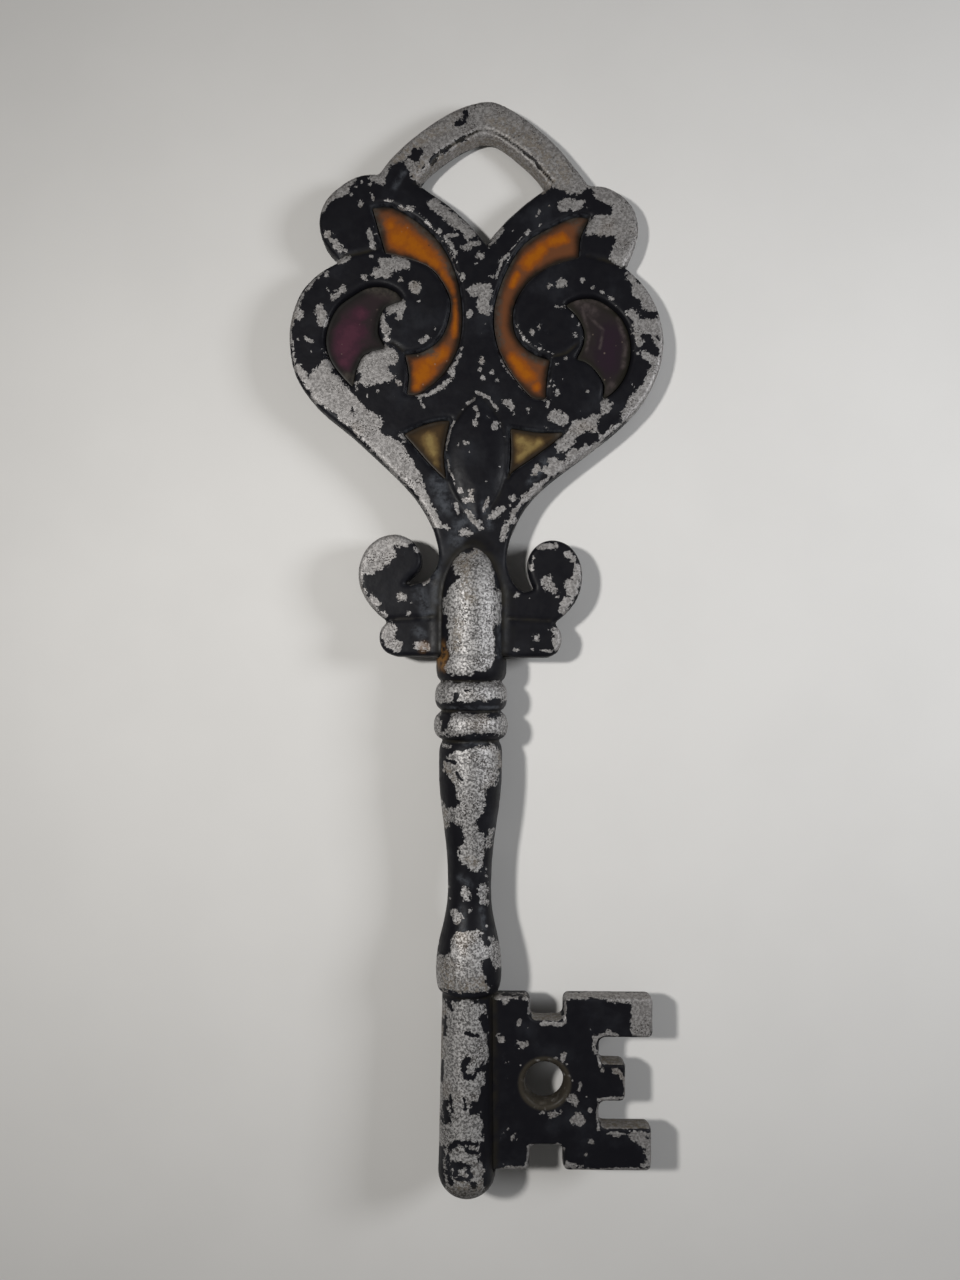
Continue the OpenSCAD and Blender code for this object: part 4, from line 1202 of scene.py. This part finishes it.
@dataclass
class Bit(Casting):
    """The toothed bit, with its hole rubbed brown and a fillet along the pin.

    Args:
        hole: Middle of the hole, in millimetres.
        rubbed: Radius of the brown ring round it, in millimetres.
        half_thick: Distance from the middle plane within which a wall is bare, in millimetres.
        notch_top: Level along Y below which the walls that face up the key are brown.
        braze: Height of the fillet, in millimetres.
        braze_reach: How far it runs out from the pin, in millimetres.
    """

    hole: Point = (23.5, -140.0)
    rubbed: float = 8.3
    half_thick: float = 3.6
    notch_top: float = -114.0
    braze: float = 0.8
    braze_reach: float = 2.2

    def fillet(self, skin: Skin, gap: np.ndarray) -> np.ndarray:
        """A soft braze along the pin."""
        return self.braze * (1 - smoothstep(gap, 0.0, self.braze_reach)) ** 2 * skin.face

    def marks(self, skin: Skin) -> dict[str, np.ndarray]:
        """Brown metal round the hole and on the walls that face up the key.

        Args:
            skin: The vertices of the bit.

        Returns:
            Values from 0 to 1 by the name of the mark; "bare" is a depth in millimetres, as wear is.
        """
        away = np.hypot(skin.x - self.hole[0], skin.y - self.hole[1])
        ring = 1 - smoothstep(away, self.rubbed - 0.5, self.rubbed + 0.5)
        inner = smoothstep(-np.abs(skin.places[:, 2] - MID_Z), -self.half_thick, 0.8 - self.half_thick)
        wall = smoothstep(skin.normals[:, 1], 0.5, 0.9) * inner * np.where(skin.y < self.notch_top, 1.0, 0.3)
        return {"tarnish": np.maximum(ring, 0.62 * wall), "stain": 1.2 * wall, "bare": 2.4 * wall - 1.0}


@dataclass
class Pane:
    """A resin pane with a meniscus that climbs its walls and light that gathers along soft strokes.

    Args:
        node: CAD node that it replaces.
        finish: Its resin.
        glows: Strokes where light gathers in it, as broad as the glow reaches.
        haze: Soft strokes where the resin is cloudy and grey.
        voxel: Distance between the vertices of its skin, in millimetres.
        meniscus: Height that the resin climbs its walls, in millimetres.
        sag: How far its middle sinks, in millimetres.
    """

    node: str
    finish: ResinFinish
    glows: tuple[Stroke, ...]
    haze: tuple[Stroke, ...] = ()
    voxel: float = 0.35
    meniscus: float = 0.25
    sag: float = 0.05

    def build(self) -> None:
        """Makes the pane, paints its depth and glow and gives it its resin."""
        piece = fine_skin(self.node, "poured_" + self.node, self.voxel, 2)
        skin = Skin(piece)
        depth = self.wall_distance(skin)
        skin.move(skin.face * (self.meniscus * np.exp(-depth / 0.7) - self.sag), self.node)
        skin.paint("depth", depth)
        skin.paint("glow", cover(self.glows, skin.seen(), -0.3, 1.0))
        skin.paint("haze", cover(self.haze, skin.seen(), 0.0, 1.0))
        hand_over(piece, self.node, self.finish)

    def wall_distance(self, skin: Skin, batch: int = 400) -> np.ndarray:
        """Distance of each vertex from the pane's walls, seen from above.

        Args:
            skin: The vertices of the pane.
            batch: How many points of the walls are compared at a time.

        Returns:
            One distance for each vertex, in millimetres.
        """
        walls = skin.places[np.abs(skin.normals[:, 2]) < 0.5][:, :2]
        nearest = skin.full(np.inf)
        for start in range(0, len(walls), batch):
            part = walls[start:start + batch]
            gaps = np.hypot(skin.x[:, None] - part[None, :, 0], skin.y[:, None] - part[None, :, 1])
            nearest = np.minimum(nearest, gaps.min(axis=1))
        return nearest


@dataclass(frozen=True)
class Lamp:
    """A square lamp.

    Args:
        name: Its name.
        place: Its middle, in millimetres.
        aim: Point that it faces, in millimetres.
        size: Its side, in metres.
        power: Its power, in watts.
        colour: Its colour.
    """

    name: str
    place: tuple[float, float, float]
    aim: tuple[float, float, float]
    size: float
    power: float
    colour: Colour

    def build(self) -> None:
        """Hangs the lamp in the scene."""
        lamp = bpy.data.lights.new(self.name, "AREA")
        lamp.size, lamp.energy, lamp.color = self.size, self.power, self.colour
        holder = bpy.data.objects.new(self.name, lamp)
        bpy.context.scene.collection.objects.link(holder)
        holder.location = Vector(self.place) * MM
        holder.rotation_euler = (Vector(self.place) - Vector(self.aim)).to_track_quat("Z", "Y").to_euler()


@dataclass
class Studio:
    """The pale table, a desk lamp on the left, a broad lamp on the right and the camera above.

    Args:
        lens: Focal length for a 36 mm long side, in millimetres.
        table: Colour of the table.
        wide: Side of the table, in metres.
        rise: How the table rises along X and Y in the part's frame, as slopes.
        level: Height of the table under the part's origin, in millimetres.
        middle: Middle of the table's lit part, in metres.
        lamps: The two lamps.
        dim: Brightness of the room.
        backdrop: Brightness of the backdrop that the camera sees.
    """

    lens: float = 26.0
    table: Colour = (0.675, 0.664, 0.648)
    wide: float = 6.0
    rise: tuple[float, float] = (0.0294, 0.0386)
    level: float = 1.04
    middle: tuple[float, float, float] = (0.032, 0.0, 0.0)
    lamps: tuple[Lamp, ...] = (
        Lamp("desk_lamp", (-216, 38, 408), (300, -150, 0), 0.036, power=1.69, colour=(1.0, 0.985, 0.955)),
        Lamp("broad_lamp", (420, 70, 320), (0, 0, 0), 0.15, power=1.40, colour=(0.95, 0.97, 1.0)),
    )
    dim: float = 0.085
    backdrop: float = 0.62

    def build(self) -> None:
        """Makes the table, the lamps, the room and the camera."""
        self.make_table()
        for lamp in self.lamps:
            lamp.build()
        self.make_room()
        self.make_camera()

    def make_table(self) -> None:
        """A wide flat table that the collars, the loop and the right lobe rest on."""
        deselect_all()
        lean = Euler((math.atan(self.rise[1]), -math.atan(self.rise[0]), 0.0))
        bpy.ops.mesh.primitive_plane_add(size=self.wide, location=(0.0, 0.0, self.level * MM), rotation=lean)
        table = bpy.context.active_object
        table.name = "table"
        material = bpy.data.materials.new("pale_table")
        material.use_nodes = True
        table.data.materials.append(material)
        self.dress_table(Board(material.node_tree), material.node_tree.nodes["Principled BSDF"].inputs)

    def dress_table(self, board: Board, shader: bpy.types.NodeInputs) -> None:
        """Gives the table its mottled colour with painted shade away from its lit middle, and a pale glow far
        out that only the camera sees.

        Args:
            board: Board of the table's material.
            shader: Inputs of its shader.
        """
        place = board.add("ShaderNodeTexCoord").outputs["Object"]
        away = board.add("ShaderNodeVectorMath", {0: place, 1: self.middle}, operation="DISTANCE")
        away = away.outputs["Value"]
        mottle = board.span(board.noise(place, 60.0, 4.0), 0.3, 0.7, 0.985, 1.015)
        # Painted shade: the table's colour darkens away from its lit middle, as the light falls off.
        shade = board.times(board.span(away, 0.05, 0.27, 1.0, 0.93), mottle)
        colour = board.add("ShaderNodeVectorMath", {0: self.table, "Scale": shade}, operation="SCALE")
        board.feed(shader["Base Color"], colour.outputs[0])
        board.feed(shader["Roughness"], board.span(board.noise(place, 20.0), 0.3, 0.7, 0.62, 0.70))
        shader["Specular IOR Level"].default_value = 0.2
        seen = board.add("ShaderNodeLightPath").outputs["Is Camera Ray"]
        board.feed(shader["Emission Color"], PAPER)
        board.feed(shader["Emission Strength"], board.times(board.span(away, 0.26, 0.80, 0.0, 0.5), seen))

    def make_room(self) -> None:
        """A dim room, and a plain pale backdrop for the camera."""
        world = bpy.data.worlds.new("room")
        bpy.context.scene.world = world
        world.use_nodes = True
        board = Board(world.node_tree)
        background = world.node_tree.nodes["Background"].inputs
        seen = board.add("ShaderNodeLightPath").outputs["Is Camera Ray"]
        board.feed(background["Color"], PAPER)
        board.feed(background["Strength"], board.between(seen, self.dim, self.backdrop))

    def make_camera(self) -> None:
        """The photograph's view, square to the table."""
        lens = bpy.data.cameras.new("camera")
        lens.sensor_width = 36.0
        lens.lens = self.lens
        lens.clip_start = 0.01
        camera = bpy.data.objects.new("camera", lens)
        bpy.context.scene.collection.objects.link(camera)
        camera.location = Vector(EYE) * MM
        camera.rotation_euler = Euler((math.radians(TILT), 0.0, math.radians(TURN)))
        bpy.context.scene.camera = camera
        bpy.context.scene.view_settings.view_transform = "Standard"


def castings() -> tuple[Casting, ...]:
    """The three cast pieces of the key.

    Returns:
        The pieces, in the order in which they are built.
    """
    worn = CastFinish("flaked_paint", Slot.PAINT, metal=(0.365, 0.352, 0.345), shade=(0.185, 0.176, 0.172),
                      pitting=0.02)
    rubbed = CastFinish("rubbed_metal", Slot.METAL)
    return (
        Bow("bow", 0.62, BOW_WEAR, worn, ("shank",)),
        Shank("shank", 0.45, SHANK_WEAR, rubbed, ("bow", "bit")),
        Bit("bit", 0.30, BIT_WEAR, worn, ("shank",), dent=0.12),
    )


def panes() -> tuple[Pane, ...]:
    """The six resin panes, with the places where the photograph shows them glow.

    Returns:
        The panes, in the order in which they are built.
    """
    return (
        Pane(
            "amber_pane_left", AMBER,
            glows=strokes(
                (5.5, -25.5, 130, -20, 126.2, -14.5, 121.5), (3.0, -28.5, 134),
                (3.0, -12, 118, -9, 112.5), (1.7, -7.4, 109, -6.8, 98),
                (3.4, -11, 92, -15, 89), (5.0, -16.5, 87, -18, 84), (2.6, -19, 81)),
            haze=strokes(
                (3.4, -19, 93.5, -14, 92), (4.4, -35, 140, -32.4, 133.5),
                (2.4, -22, 136.5, -14, 128.5, -8, 118))),
        Pane(
            "amber_pane_right", AMBER,
            glows=strokes(
                (2.6, 28, 130, 24, 128.8), (3.2, 21, 126.4, 16.5, 121.8), (1.6, 13, 118, 11.5, 114.6),
                (3.6, 12.6, 89.6, 16.6, 85), (2.0, 19.6, 81)),
            haze=strokes(
                (3.6, 30, 138, 35, 133), (2.0, 13, 127, 18, 131, 23, 133.5),
                (1.9, 11.5, 124, 8.2, 116, 7.2, 108, 7.2, 100, 8.4, 95), (1.6, 14, 92, 22, 89))),
        Pane(
            "violet_pane_left", VIOLET,
            glows=strokes((3.6, -37.8, 104.5), (6.2, -40.4, 99.4, -42.6, 92.6), (4.0, -43, 89)),
            haze=strokes((3.8, -35, 114, -27, 111), (2.6, -38, 82, -42, 84))),
        Pane(
            "violet_pane_right", DUSKY,
            glows=strokes((6.0, 43.4, 98, 42.4, 89),),
            haze=strokes(
                (2.8, 32, 110, 38, 106), (0.8, 36, 105, 41, 100, 40, 94), (1.0, 34, 108, 36.5, 98, 35.6, 93),
                (1.2, 36, 110, 44, 107), (1.4, 46, 104, 48.4, 95, 47.6, 88), (2.2, 44, 82, 43, 80))),
        Pane(
            "yellow_pane_left", YELLOW,
            glows=strokes((3.2, -14.8, 64, -13.4, 59.4), (2.2, -13, 56))),
        Pane(
            "yellow_pane_right", YELLOW,
            glows=strokes((3.8, 15, 63.4, 17.4, 61.6), (2.4, 14.4, 58, 20.4, 62.8)),
            haze=strokes((2.4, 26, 65, 30, 67),)),
    )


def main() -> None:
    """Builds and dresses the key, then the table, the light and the camera."""
    logging.basicConfig(level=logging.INFO, format="%(name)s %(message)s")
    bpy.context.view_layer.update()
    noise.seed_set(NOISE_SEED)
    parts = castings()
    for part in parts:
        part.build()
    for part in parts:
        part.sculpt()
    for pane in panes():
        pane.build()
    Studio().build()


if __name__ == "__main__":
    main()
